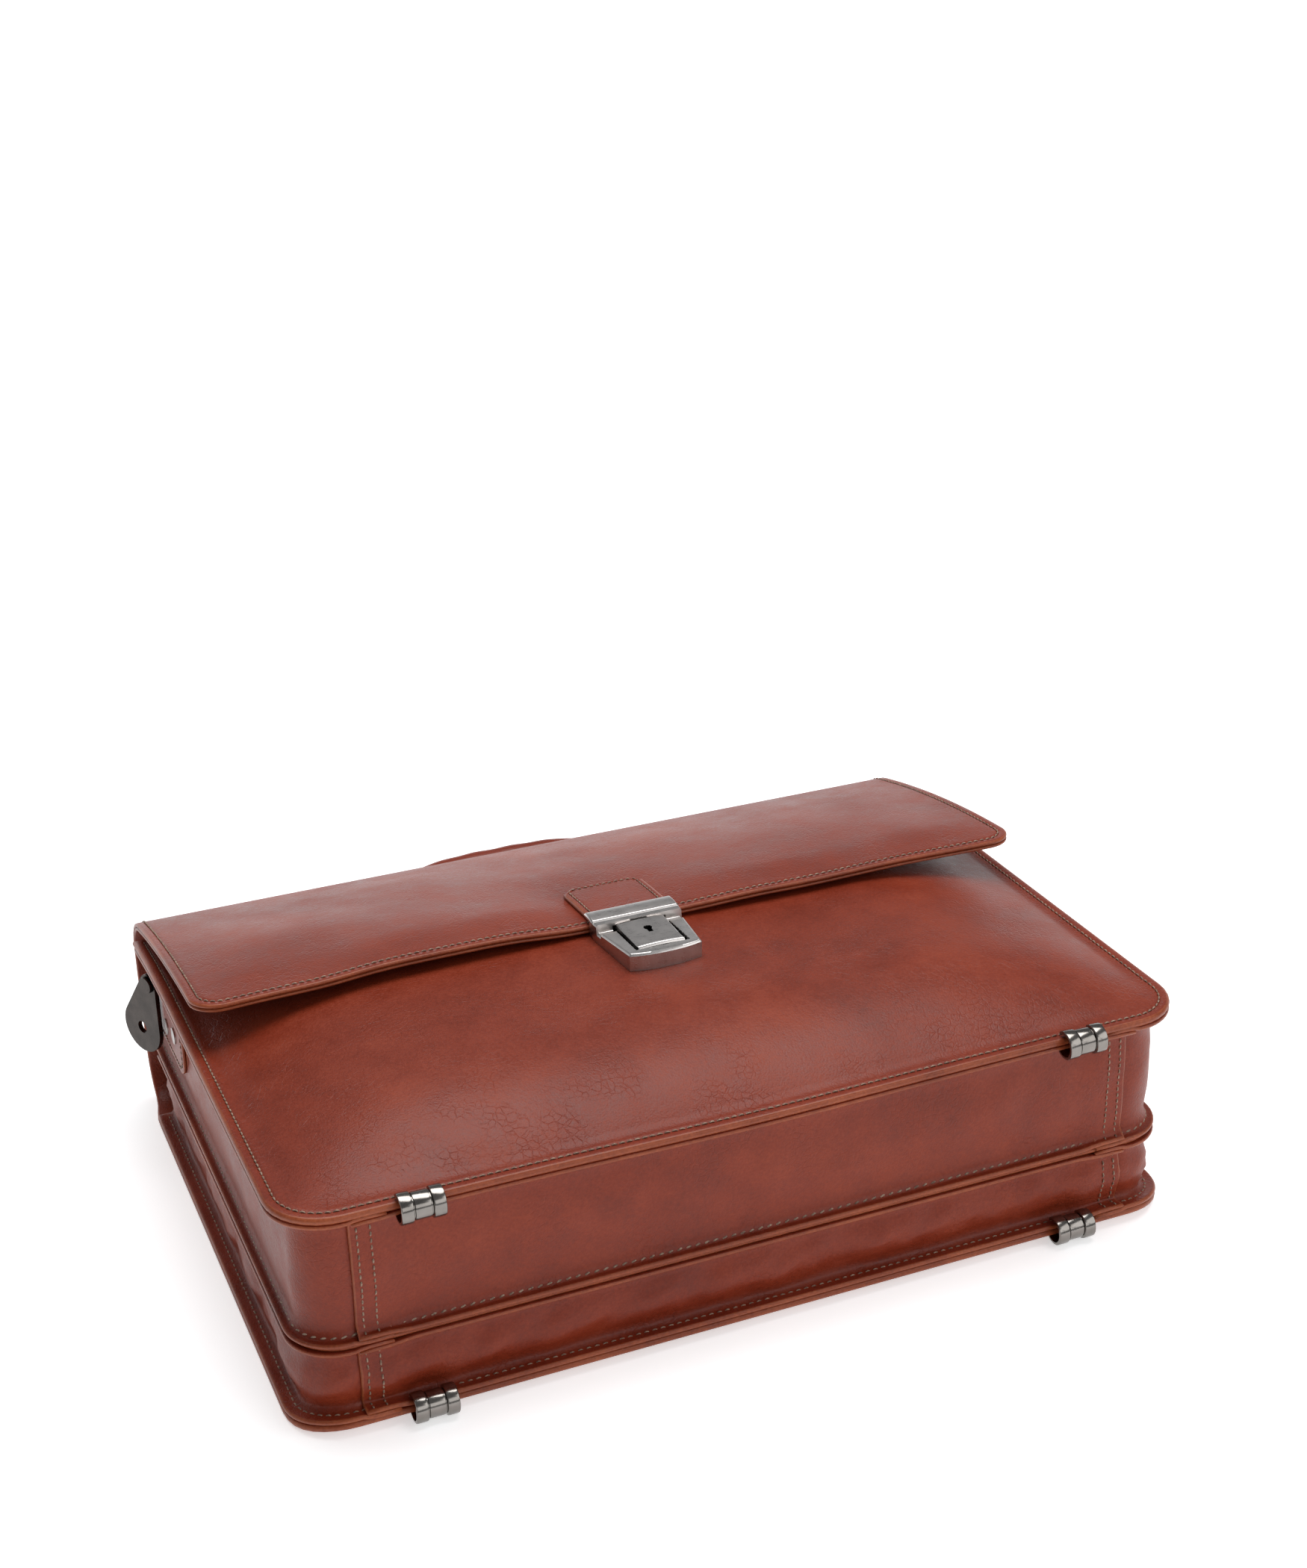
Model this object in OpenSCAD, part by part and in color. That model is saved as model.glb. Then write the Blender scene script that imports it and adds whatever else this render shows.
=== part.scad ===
// Two-compartment leather briefcase, lying on its back panel.
// X runs across the bag, Y from the bottom seam to the top handle, Z from the back panel to the flap.

/* [Bag] */
// Width across the side seams
bag_w = 400; // [380:1:420]
// Height from the bottom seam to the rear fold
bag_h = 290; // [285:1:300]
// Radius of the two bottom corners of every panel
corner_r = 25; // [18:1:32]
// Height of the front seam above the back face, at the bottom of the bag
front_z = 102; // [100:1:104]
// Height of the seam between the two compartments
mid_z = 38; // [34:1:42]
// How far the front panel crowns above its seam
crown = 16.5; // [15:0.5:17]

/* [Leather] */
// Thickness of a lined outer panel
panel_t = 3.5; // [3:0.1:4]
// Thickness of a gusset wall or flange
wall_t = 2; // [1.6:0.1:2.4]
// Thickness of a lining
lining_t = 1; // [0.8:0.1:1.2]
// How far the gusset walls stand inside the seams
seam_inset = 8; // [6.5:0.5:9]

/* [Flap] */
// Outer radius of the fold at the front
fold_r = 22; // [20:0.5:24]
// Outer radius of the fold at the back
back_fold_r = 25; // [22:0.5:27]
// Distance of the flap's free edge from the bottom seam
flap_edge_y = 142; // [141.8:0.2:142.6]
// Radius of the flap's two free corners
flap_corner_r = 14; // [10:1:20]
// Slope of the closed flap where it leaves the front fold; it levels out towards its free edge
flap_slope = 15.2; // [14.8:0.1:15.4]

/* [Lock] */
// Width of the lock across its clamp
lock_w = 41.5; // [40:0.5:43]
// Width of the lock at its lower end
lock_low_w = 32; // [30:0.5:34]
// Depth that the push plate travels
press_travel = 1.2; // [0.8:0.1:1.5]

/* [Handle] */
// Distance between the two handle brackets
handle_span = 112; // [104:1:120]
// Radius of the padded grip
grip_r = 6.5; // [5.5:0.5:7]
// Distance from the hinge pins to the middle of the grip
handle_reach = 36.5; // [34:0.5:40]
// Angle at which the handle lies, up from the floor
handle_lean = 26; // [22:1:30]

/* [Strap lugs] */
// Radius of the lug's wide end
lug_r = 12.5; // [11:0.5:13]
// Distance from the lug's pivot to its strap hole, at the middle of the wide end
lug_len = 26; // [24:1:27]
// Radius of the strap hole
lug_hole_r = 3; // [2.5:0.5:4]
// Angle at which the lug stands out from the side
lug_splay = 27; // [24:1:30]

/* [Seam clips] */
// Length of a seam clip
clip_len = 19; // [16:1:22]
// Outer radius of a seam clip
clip_r = 6.5; // [6:0.5:7]
// Distance of the clips from the middle of the bag
clip_x = 145; // [130:1:150]

/* [Hidden] */
$fn = 96;

gap = 0.3;                      // clearance between pieces that move apart
big = 600;                      // longer than anything in the bag
cut = 1;                        // overrun of a cutting tool

// Heights through the closed bag
lips_t = panel_t + wall_t;      // the two leather lips of a seam
rear_z = panel_t;               // rear gusset starts on the back panel
seam_lift = clip_r - lips_t / 2; // the rear clips hold the bottom seam off the floor
lift_y = 22;
divider_t = 2;
front_gusset_z = mid_z + divider_t;
mouth_y = 268;                  // top of the front gusset
rear_mouth_y = 258;             // top of the rear gusset, clear of the rear fold
slope_y = 225;                  // the front seam bends down from here
slope_z = front_z - 3.5;
mouth_z = front_z - 9.5;
front_line = [[0, front_z], [slope_y, slope_z], [mouth_y + 4, mouth_z]];
gusset_split_x = 172;           // joint between side and bottom gussets

// Folds. The flap hinges about the line Y 285.25, Z 95.95 and the top strip about Y 283.1, Z 6.9:
// the leather keeps its length when it bends about these lines.
top_y = bag_h;
fold_y = top_y - fold_r;
fold_z = 78.7;                  // middle of the front fold
back_fold_y = top_y - back_fold_r;

// Lock, standing on the crowned front panel
lock_z = front_z - 0.5 + crown;
lock_h = 8.5;
lock_y0 = 101;
lock_y1 = 137.5;
clamp_y0 = lock_y1 + 0.4;
clamp_y1 = 148;
keyhole_y = 123.5;
plate_y0 = 107.5;
plate_y1 = 133;
plate_w = 23;
key_r = 4;
tongue_y = clamp_y0 + 0.9;
tongue_t = 1.6;
tongue_w = 12;
tongue_drop = 9;

// Handle hinge on the top strip
handle_y = top_y + 6.5;
handle_z = 52;
pin_r = 2;
pin_fit = 0.05;                 // running clearance of pins and studs
ear_t = 3;
eye_w = 7;
eye_r = 4.4;

// Strap lugs
wall_x = bag_w / 2 - seam_inset;
chape_t = 1.5;
lug_x = bag_w / 2 - 1;
lug_y = 243;
lug_z = 84;
lug_t = 2.2;
lug_small_r = 5;
lug_lean = 17;
stud_r = 2.5;
chape_z = 71;
chape_w = 32;

// Whole bag centred on the origin along Y
y_far = handle_y + handle_reach * cos(handle_lean) + grip_r;
y_near = -0.5 - clip_r;
y_mid = (y_far + y_near) / 2;

leather = [0.55, 0.23, 0.14];
dark_leather = [0.38, 0.16, 0.1];
cloth = [0.45, 0.36, 0.28];
satin = [0.62, 0.6, 0.58];
gunmetal = [0.25, 0.23, 0.22];

// ---- Shapes that repeat ----

// Moves a piece from bag coordinates (bottom seam at Y 0) to the centred frame
module placed() {
    translate([0, -y_mid, 0]) children();
}

// Outline of a panel from above: straight top, two rounded corners at the low edge
module round_bottom(w, y0, y1, r) {
    translate([-w / 2 + r, y0]) square([w - 2 * r, y1 - y0]);
    translate([-w / 2, y0 + r]) square([w, y1 - y0 - r]);
    for (side = [-1, 1]) translate([side * (w / 2 - r), y0 + r]) circle(r);
}

// Outline of the bag, drawn in by inset from its seams
module bag_outline(inset, y1) {
    round_bottom(bag_w - 2 * inset, inset, y1, corner_r - inset);
}

// Strip of the bag's outline between two insets, open at the top
module rim(inset0, inset1, y1) {
    difference() {
        bag_outline(inset0, y1);
        bag_outline(inset1, y1 + cut);
    }
}

// Extrudes a (Y, Z) side profile along X
module across(w) {
    rotate([90, 0, 90]) linear_extrude(w, center = true) children();
}

// Side profile of a layer that hangs drop below the front seam line and is t thick
module seam_layer(drop, t) {
    upper = [for (p = front_line) [p[0], p[1] - drop]];
    lower = [for (i = [len(front_line) - 1:-1:0]) [front_line[i][0], front_line[i][1] - drop - t]];
    polygon(concat(upper, lower));
}

// Side profile of a layer z above the back face, with its bottom seam lifted by the clips
module rear_layer(z, t, y1) {
    polygon([[0, seam_lift + z], [lift_y, z], [y1, z], [y1, z + t], [lift_y, z + t], [0, seam_lift + z + t]]);
}

// Points of an arc about c between two angles
function arc_points(c, r, a0, a1, n) =
    [for (i = [0:n]) let (a = a0 + (a1 - a0) * i / n) c + r * [cos(a), sin(a)]];

// Quarter ring of a fold between two angles, about (cy, cz) in the side view
module fold_arc(cy, cz, r, t, a0, a1) {
    reach = 2 * r;
    intersection() {
        translate([cy, cz]) difference() {
            circle(r);
            circle(r - t);
        }
        translate([cy, cz]) polygon([
            [0, 0], reach * [cos(a0), sin(a0)],
            reach * [cos((a0 + a1) / 2), sin((a0 + a1) / 2)], reach * [cos(a1), sin(a1)]
        ]);
    }
}

// Rectangle from (x0, y0) to (x1, y1)
module box2(x0, y0, x1, y1) {
    translate([x0, y0]) square([x1 - x0, y1 - y0]);
}

// Keeps the left (-1), middle (0) or right (1) stretch of a gusset
module gusset_part(which) {
    intersection() {
        children();
        if (which == 0) translate([-gusset_split_x, -cut, -cut]) cube([2 * gusset_split_x, big, big]);
        else translate([which > 0 ? gusset_split_x : -big, -cut, -cut]) cube([big - gusset_split_x, big, big]);
    }
}

// ---- Bag shell ----

module back_panel() color(leather) placed() {
    intersection() {
        linear_extrude(big) bag_outline(0, back_fold_y);
        across(bag_w) rear_layer(0, panel_t, back_fold_y);
    }
    across(bag_w - 6) difference() {
        fold_arc(back_fold_y, back_fold_r, back_fold_r, panel_t, 270, 314);
        box2(0, -cut, back_fold_y, panel_t + cut);
    }
}

module back_lining() color(cloth) placed() intersection() {
    linear_extrude(big) bag_outline(seam_inset + wall_t + gap, back_fold_y - 5);
    across(bag_w) rear_layer(rear_z, lining_t, back_fold_y);
}

// Channel-shaped gusset between the back panel and the divider
module rear_gusset(which) color(leather) placed() gusset_part(which) {
    intersection() {
        linear_extrude(big) rim(0, seam_inset + wall_t, rear_mouth_y);
        across(bag_w) rear_layer(rear_z, wall_t, rear_mouth_y);
    }
    translate([0, 0, mid_z - wall_t]) linear_extrude(wall_t) rim(3, seam_inset + wall_t, rear_mouth_y);
    intersection() {
        linear_extrude(mid_z) rim(seam_inset, seam_inset + wall_t, rear_mouth_y);
        across(bag_w) polygon([
            [0, seam_lift + rear_z], [lift_y, rear_z], [rear_mouth_y, rear_z], [rear_mouth_y, mid_z], [0, mid_z]
        ]);
    }
}

module divider_panel() color(dark_leather) placed()
    translate([0, 0, mid_z]) linear_extrude(divider_t) bag_outline(3, rear_mouth_y + 4);

// Channel-shaped gusset between the divider and the front panel
module front_gusset(which) color(leather) placed() gusset_part(which) {
    translate([0, 0, front_gusset_z]) linear_extrude(wall_t) rim(3, seam_inset + wall_t, mouth_y);
    intersection() {
        linear_extrude(big) rim(seam_inset, seam_inset + wall_t, mouth_y);
        across(bag_w) polygon([
            [-cut, front_gusset_z], [mouth_y, front_gusset_z], [mouth_y, mouth_z - panel_t - cut / 2],
            [slope_y, slope_z - panel_t - cut / 2], [-cut, front_z - panel_t - cut / 2]
        ]);
    }
    intersection() {
        linear_extrude(big) rim(0, seam_inset + wall_t, mouth_y);
        across(bag_w) seam_layer(panel_t, wall_t);
    }
}

// Solid whose top face is the crowned face of the front panel
module crowned(outline_inset, y1) {
    hull() {
        intersection() {
            linear_extrude(big) bag_outline(outline_inset, y1);
            across(bag_w) seam_layer(0, panel_t);
        }
        translate([0, 58, lock_z - cut]) linear_extrude(cut) round_bottom(210, 0, lock_y1 - 58, 20);
    }
}

module front_panel() color(leather) placed() difference() {
    crowned(0, mouth_y + 4);
    translate([0, 0, -panel_t]) crowned(0, mouth_y + 4);
    translate([-tongue_w / 2 - 1.5, tongue_y - 1.5, lock_z - 3 * panel_t])
        cube([tongue_w + 3, 9.5, 4 * panel_t]);
    for (p = screw_places) translate([p[0], p[1], lock_z - 2 * panel_t]) cylinder(r = screw_r, h = 3 * panel_t);
}

module front_lining() color(cloth) placed() difference() {
    translate([0, 0, -panel_t]) crowned(seam_inset + wall_t + gap, mouth_y);
    translate([0, 0, -panel_t - lining_t]) crowned(seam_inset + wall_t - 1, mouth_y + 4);
    translate([-lock_w / 2, lock_y0 - 2, lock_z - 3 * panel_t]) cube([lock_w, 50, 4 * panel_t]);
}

// ---- Seam clips: three-banded sleeves closed round the seam lips ----

module seam_clip(x, z) color(gunmetal) placed() translate([x, -0.5, z]) difference() {
    rotate([0, 90, 0]) union() {
        for (side = [-1, 1]) translate([0, 0, side * (clip_len / 2 - 2.5)])
            cylinder(r = clip_r, h = 5, center = true);
        cylinder(r = clip_r - 0.6, h = clip_len - 9, center = true);
    }
    translate([0, clip_r + 0.5, 0]) cube([clip_len + cut, 2 * clip_r, lips_t + 3.8], center = true);
}

// ---- Strap lugs and the leather tabs that carry them ----

// Mirrors a piece drawn for the right side on to the left
module on_side(side) {
    mirror([side < 0 ? 1 : 0, 0, 0]) children();
}

// Lug coordinates on the right side: X down from the stud, Z outwards along it
module lug_frame() {
    translate([lug_x, lug_y, lug_z]) rotate([0, 0, -lug_splay]) rotate([0, 90, 0]) children();
}

rivet_r = 3;
rivet_places = [[231, 67], [214, 71]];
chape_y0 = 197;
chape_y1 = 262;
chape_r = 12;

module lug_chape(side) color(leather) placed() on_side(side) difference() {
    low = chape_z - chape_w / 2;
    high = chape_z + chape_w / 2;
    translate([wall_x + chape_t, 0, 0]) across(2 * chape_t) {
        box2(chape_y0 + chape_r, low, chape_y1, high);
        box2(chape_y0, low + chape_r, chape_y0 + chape_r + cut, high - chape_r);
        for (z = [low + chape_r, high - chape_r]) translate([chape_y0 + chape_r, z]) circle(chape_r);
    }
    for (p = rivet_places) translate([wall_x, p[0], p[1]]) rotate([0, 90, 0])
        cylinder(r = rivet_r, h = 8 * chape_t, center = true);
}

// Shouldered stud that the lug turns on, cut square against the leather tab
module lug_stud(side) color(satin) placed() on_side(side) difference() {
    lug_frame() union() {
        translate([0, 0, -8]) cylinder(r = stud_r, h = 8 + lug_t / 2 + gap);
        translate([0, 0, lug_t / 2 + gap]) cylinder(r = stud_r + 1.5, h = 1.4);
        translate([0, 0, -8]) cylinder(r = stud_r + 1.2, h = 8 - lug_t / 2 - gap);
    }
    translate([wall_x + 2 * chape_t - 30, lug_y - 20, lug_z - 20]) cube([30, 40, 40]);
}

module chape_rivets(side) color(satin) placed() on_side(side) for (p = rivet_places)
    translate([wall_x, p[0], p[1]]) rotate([0, 90, 0]) {
        cylinder(r = rivet_r, h = 2 * chape_t);
        translate([0, 0, 2 * chape_t]) cylinder(r = rivet_r + 0.8, h = 0.7);
    }

// Teardrop plate that hangs from the stud, with the strap hole in its wide end
module strap_lug(side) color(gunmetal) placed() on_side(side) lug_frame() rotate([0, 0, lug_lean])
    translate([0, 0, -lug_t / 2]) linear_extrude(lug_t) difference() {
        spread = asin((lug_r - lug_small_r) / lug_len);
        polygon(concat(
            arc_points([0, 0], lug_small_r, 90 + spread, 270 - spread, 12),
            arc_points([lug_len, 0], lug_r, -90 - spread, 90 + spread, 28)
        ));
        circle(stud_r + pin_fit);
        translate([lug_len, 0]) circle(lug_hole_r);
    }

// ---- Inside ----

pocket_gap = 6;
pocket_t = 1.5;
pocket_w = 200;
pocket_x = -60;

// Open-topped pocket sewn on the front of the divider
module slip_pocket() color(dark_leather) placed() translate([pocket_x, 0, front_gusset_z]) difference() {
    translate([-pocket_w / 2, 60, 0]) cube([pocket_w, 140, pocket_gap + pocket_t]);
    translate([-pocket_w / 2 + pocket_t, 60 + pocket_t, -cut])
        cube([pocket_w - 2 * pocket_t, 140, pocket_gap + cut]);
}

loop_r = 6.5;
loop_len = 32;

// Leather loops for pens, beside the pocket
module pen_loops() color(dark_leather) placed() for (i = [0:2])
    translate([80 + i * 22, 170, front_gusset_z + loop_r + pocket_t]) rotate([-90, 0, 0])
    linear_extrude(loop_len) {
        difference() {
            circle(loop_r + pocket_t);
            circle(loop_r);
            translate([-2 * loop_r, 0]) square([4 * loop_r, 2 * loop_r]);
        }
        for (s = [-1, 1]) translate([s * (loop_r + pocket_t / 2) - pocket_t / 2, 0])
            square([pocket_t, loop_r + pocket_t]);
    }

zip_y = 205;
zip_w = 250;
zip_z = rear_z + lining_t;

module zip_pocket() color(cloth) placed() translate([0, 0, zip_z]) difference() {
    translate([-zip_w / 2 - 15, 70, 0]) cube([zip_w + 30, zip_y + 20 - 70, 1.5]);
    translate([-zip_w / 2, zip_y - 6, -cut]) cube([zip_w, 12, 4]);
}

module zip_tape() color(dark_leather) placed() translate([0, zip_y, zip_z]) {
    translate([-zip_w / 2, -6, 0]) cube([zip_w, 12, 1]);
    translate([-zip_w / 2, -1.5, 1]) cube([zip_w, 3, 1]);
}

zip_start_x = -105;
pull_pin_r = 0.8;
pull_z = 5.4;

// Slider with two ears and the pin that the puller hangs on
module zip_slider() color(satin) placed() translate([zip_start_x, zip_y, zip_z]) {
    difference() {
        translate([-5, -4, 1.2]) cube([10, 8, 2]);
        translate([-6, -1.8, 1]) cube([12, 3.6, 1.3]);
    }
    for (side = [-1, 1]) translate([side * 3.4, 0, 3.2]) rotate([90, 0, 90]) linear_extrude(1.4, center = true) {
        box2(-1.8, -0.5, 1.8, pull_z - 3.2);
        translate([0, pull_z - 3.2]) circle(1.8);
    }
    translate([0, 0, pull_z]) rotate([0, 90, 0]) cylinder(r = pull_pin_r, h = 6, center = true);
}

module zip_puller() color(satin) placed() translate([zip_start_x, zip_y, zip_z + pull_z]) difference() {
    union() {
        rotate([0, 90, 0]) cylinder(r = 1.6, h = 4.6, center = true);
        translate([-2.3, -24, -0.7]) cube([4.6, 24, 1.4]);
    }
    rotate([0, 90, 0]) cylinder(r = pull_pin_r + pin_fit, h = 6, center = true);
    translate([0, -20, 0]) cylinder(r = 1.4, h = 4, center = true);
}

// ---- Lock on the front panel ----

screw_r = 1.4;
screw_places = [[-11, 105], [11, 105], [-17.4, 134], [17.4, 134]];

// Tapered outline of the lock, with an arched lower end
module lock_outline(inset) {
    top_half = lock_w / 2 - inset;
    low_half = lock_low_w / 2 - inset;
    arch_r = 62;
    intersection() {
        polygon([
            [-top_half, lock_y1 - inset], [-low_half, lock_y0 - 4],
            [low_half, lock_y0 - 4], [top_half, lock_y1 - inset]
        ]);
        translate([0, lock_y0 + inset + arch_r]) circle(arch_r, $fn = 360);
    }
}

module lock_body() color(satin) placed() difference() {
    translate([0, 0, lock_z]) linear_extrude(lock_h) lock_outline(0);
    // recess that the push plate lies in
    translate([-plate_w / 2 - 2, plate_y0 - 0.8, lock_z + 4])
        cube([plate_w + 4, plate_y1 - plate_y0 + 1.6, lock_h]);
    // valley between the top bar and the two arms
    translate([-lock_w, plate_y1 - 3.2, lock_z + lock_h - 2.6]) cube([2 * lock_w, 2.6, lock_h]);
    // seat of the key cylinder
    translate([0, keyhole_y, lock_z - cut]) cylinder(r = key_r + pin_fit, h = lock_h);
    // channel for the latch bolt
    translate([-4 - gap, keyhole_y + key_r + 1, lock_z - cut]) cube([8 + 2 * gap, 20, 3 + cut]);
    for (p = screw_places) translate([p[0], p[1], lock_z - cut]) cylinder(r = screw_r, h = 4);
}

module lock_base_plate() color(satin) placed() difference() {
    translate([0, 0, lock_z - panel_t - 1.5]) linear_extrude(1.5) lock_outline(1);
    for (p = screw_places) translate([p[0], p[1], lock_z - 2 * panel_t]) cylinder(r = screw_r, h = 2 * panel_t);
}

module lock_screws() color(satin) placed() for (p = screw_places)
translate([p[0], p[1], lock_z - panel_t - 1.5]) {
    translate([0, 0, -1]) cylinder(r = screw_r + 1, h = 1);
    cylinder(r = screw_r, h = panel_t + 1.5 + 3);
}

// Push plate with a keyhole and a raised lower lip
module press_plate() color(satin) placed() difference() {
    across(plate_w) polygon([
        [plate_y0, lock_z + lock_h], [plate_y1, lock_z + lock_h - 0.3],
        [plate_y1, lock_z + 4 + press_travel + gap], [plate_y0, lock_z + 4 + press_travel + gap]
    ]);
    translate([0, keyhole_y, lock_z]) cylinder(r = 1.6, h = 30);
    translate([-0.8, keyhole_y - 4, lock_z]) cube([1.6, 4, 30]);
}

module latch_bolt() color(gunmetal) placed() translate([0, 0, lock_z])
    translate([-4, keyhole_y + key_r + 1 + press_travel + gap, gap])
        cube([8, tongue_y - gap - (keyhole_y + key_r + 1 + press_travel + gap), 2.4]);

module key_cylinder() color(gunmetal) placed() translate([0, keyhole_y, lock_z]) difference() {
    translate([0, 0, gap]) cylinder(r = key_r, h = 4 - gap);
    translate([-0.5, -2.5, 2]) cube([1, 5, 4]);
}

// ---- Top of the bag: strip between the two folds ----

top_w = bag_w - 6;
strip_z0 = back_fold_r;
strip_z1 = fold_z;

module top_strip() color(leather) placed() difference() {
    across(top_w) union() {
        fold_arc(back_fold_y, back_fold_r, back_fold_r, panel_t, 316, 360);
        box2(top_y - panel_t, strip_z0, top_y, strip_z1);
        fold_arc(fold_y, fold_z, fold_r, panel_t, 0, 44);
    }
    strip_holes();
}

module top_stiffener() color(dark_leather) placed() difference() {
    across(top_w - 24) box2(top_y - panel_t - 1.5, strip_z0 + 3, top_y - panel_t, strip_z1 - 3);
    strip_holes();
}

module top_lining() color(cloth) placed() difference() {
    across(top_w - 12) box2(top_y - panel_t - 2.5, strip_z0 + 1, top_y - panel_t - 1.5, strip_z1 - 1);
    strip_holes();
}

// ---- Handle ----

bracket_base_t = 1.6;
strip_rivet_r = 1.8;
strip_rivet_dx = 17;
bracket_base_half = 22;

module bracket_places(side) {
    translate([side * handle_span / 2, 0, handle_z]) children();
}

module strip_holes() for (side = [-1, 1], end = [-1, 1])
    bracket_places(side) translate([end * strip_rivet_dx, top_y + cut, 0]) rotate([90, 0, 0])
        cylinder(r = strip_rivet_r, h = 20);

// Riveted base with two ears that hold the hinge pin
module handle_bracket(side) color(satin) placed() bracket_places(side) difference() {
    union() {
        translate([0, top_y, 0]) rotate([-90, 0, 0]) linear_extrude(bracket_base_t) {
            for (end = [-1, 1]) translate([end * (bracket_base_half - 7), 0]) circle(7);
            square([2 * bracket_base_half - 14, 14], center = true);
        }
        for (end = [-1, 1]) translate([end * (eye_w / 2 + gap + ear_t / 2), 0, 0]) rotate([90, 0, 90])
            linear_extrude(ear_t, center = true) {
                translate([handle_y, 0]) circle(4);
                box2(top_y + bracket_base_t / 2, -4, handle_y, 4);
            }
    }
    translate([0, handle_y, 0]) rotate([0, 90, 0]) cylinder(r = pin_r, h = 40, center = true);
    for (end = [-1, 1]) translate([end * strip_rivet_dx, top_y - cut, 0]) rotate([-90, 0, 0])
        cylinder(r = strip_rivet_r, h = 10);
}

module handle_pin(side) color(gunmetal) placed()
    bracket_places(side) translate([0, handle_y, 0]) rotate([0, 90, 0]) cylinder(r = pin_r, h = eye_w + 2 * (gap + ear_t), center = true);

module handle_rivets() color(satin) placed() for (side = [-1, 1], end = [-1, 1])
    bracket_places(side) translate([end * strip_rivet_dx, top_y, 0]) rotate([-90, 0, 0]) {
        translate([0, 0, -panel_t - 2.5]) cylinder(r = strip_rivet_r, h = panel_t + 2.5 + bracket_base_t, $fn = 48);
        translate([0, 0, bracket_base_t]) cylinder(r = strip_rivet_r + 1.4, h = 1, $fn = 48);
        translate([0, 0, -panel_t - 3.3]) cylinder(r = strip_rivet_r + 1.4, h = 0.8, $fn = 48);
    }

// Handle coordinates: X across, Y out from the hinge pins, Z through the handle
module handle_frame() {
    translate([0, handle_y, handle_z]) rotate([handle_lean, 0, 0]) children();
}

eye_neck = 11;

module handle_eye(side) color(satin) placed() handle_frame()
translate([side * handle_span / 2, 0, 0]) difference() {
    rotate([90, 0, 90]) linear_extrude(eye_w, center = true) {
        circle(eye_r);
        box2(0, -2.6, eye_neck, 2.6);
    }
    rotate([0, 90, 0]) cylinder(r = pin_r + pin_fit, h = eye_w + cut, center = true);
}

// Padded grip: one round section swept along a flat-topped arch between the two eyes
grip_sides = 12;
grip_steps = 18;
arch_power = 0.62;
function flat_pow(v) = sign(v) * pow(abs(v), arch_power);
function arch(a) =
    [handle_span / 2 * flat_pow(cos(a)), eye_neck + (handle_reach - eye_neck) * flat_pow(sin(a))];
function heading(a) = let (d = arch(min(a + 1, 180)) - arch(max(a - 1, 0))) d / norm(d);
function grip_ring(a) = let (c = arch(a), d = heading(a)) [
    for (k = [0:grip_sides - 1])
        let (u = grip_r * cos(360 * k / grip_sides), w = grip_r * sin(360 * k / grip_sides))
        [c[0] + u * d[1], c[1] - u * d[0], w]
];

module handle_grip() color(leather) placed() handle_frame() {
    rings = [for (i = [0:grip_steps]) for (p = grip_ring(180 * i / grip_steps)) p];
    n = grip_sides;
    polyhedron(rings, concat(
        [[for (k = [0:n - 1]) k]],
        [for (i = [0:grip_steps - 1], k = [0:n - 1]) each [
            [i * n + k, (i + 1) * n + k, i * n + (k + 1) % n],
            [(i + 1) * n + k, (i + 1) * n + (k + 1) % n, i * n + (k + 1) % n]
        ]],
        [[for (k = [n - 1:-1:0]) grip_steps * n + k]]
    ));
}

// ---- Flap ----

flap_w = bag_w - 6;
flap_r = 700;                   // the flap's own wide curve, from the front fold to the free edge
flap_centre = [fold_y, fold_z] - (flap_r - fold_r) * [sin(flap_slope), cos(flap_slope)];
flap_steps = 20;
fold_steps = 8;
fold_a0 = 46;
fold_a1 = 90 - flap_slope;

function flap_angle(y) = acos((y - flap_centre[0]) / flap_r);

// Points of the wide curve raised by h, between two angles
function flap_curve(h, a0, a1) = arc_points(flap_centre, flap_r + h, a0, a1, flap_steps);

// Side profile of a layer t thick whose top lies h above the flap, from y0 to y1 up the bag
module flap_layer(h, t, y0, y1) {
    far = flap_angle(y1);
    near = flap_angle(y0);
    polygon(concat(flap_curve(h, far, near), flap_curve(h - t, near, far)));
}

module flap_panel() color(leather) placed() intersection() {
    edge_a = flap_angle(flap_edge_y);
    across(flap_w) polygon(concat(
        arc_points([fold_y, fold_z], fold_r, fold_a0, fold_a1, fold_steps),
        [for (i = [1:flap_steps]) flap_curve(0, fold_a1, edge_a)[i]],
        flap_curve(-panel_t, edge_a, fold_a1),
        [for (i = [1:fold_steps]) arc_points([fold_y, fold_z], fold_r - panel_t, fold_a1, fold_a0, fold_steps)[i]]
    ));
    linear_extrude(big) round_bottom(flap_w, flap_edge_y - 1, big, flap_corner_r);
}

module flap_lining() color(cloth) placed() intersection() {
    across(flap_w - 16) flap_layer(-panel_t - 0.05, 0.5, flap_edge_y + 8, fold_y - 4);
    linear_extrude(big) round_bottom(flap_w - 16, flap_edge_y + 7, big, flap_corner_r - 6);
}

tab_w = 39;
tab_t = 2.4;
tab_y0 = flap_edge_y + 3;
tab_y1 = flap_edge_y + 41.5;
tab_chamfer = 6;

module lock_tab() color(leather) placed() intersection() {
    across(tab_w) flap_layer(tab_t, tab_t, tab_y0, tab_y1);
    linear_extrude(big) polygon([
        [-tab_w / 2, 0], [tab_w / 2, 0], [tab_w / 2, tab_y1 - tab_chamfer], [tab_w / 2 - tab_chamfer, tab_y1],
        [-tab_w / 2 + tab_chamfer, tab_y1], [-tab_w / 2, tab_y1 - tab_chamfer]
    ]);
}

cap_top = lock_z + lock_h + 0.4;
cap_low = lock_z + 0.6;
cap_plate = 1.95;

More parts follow.
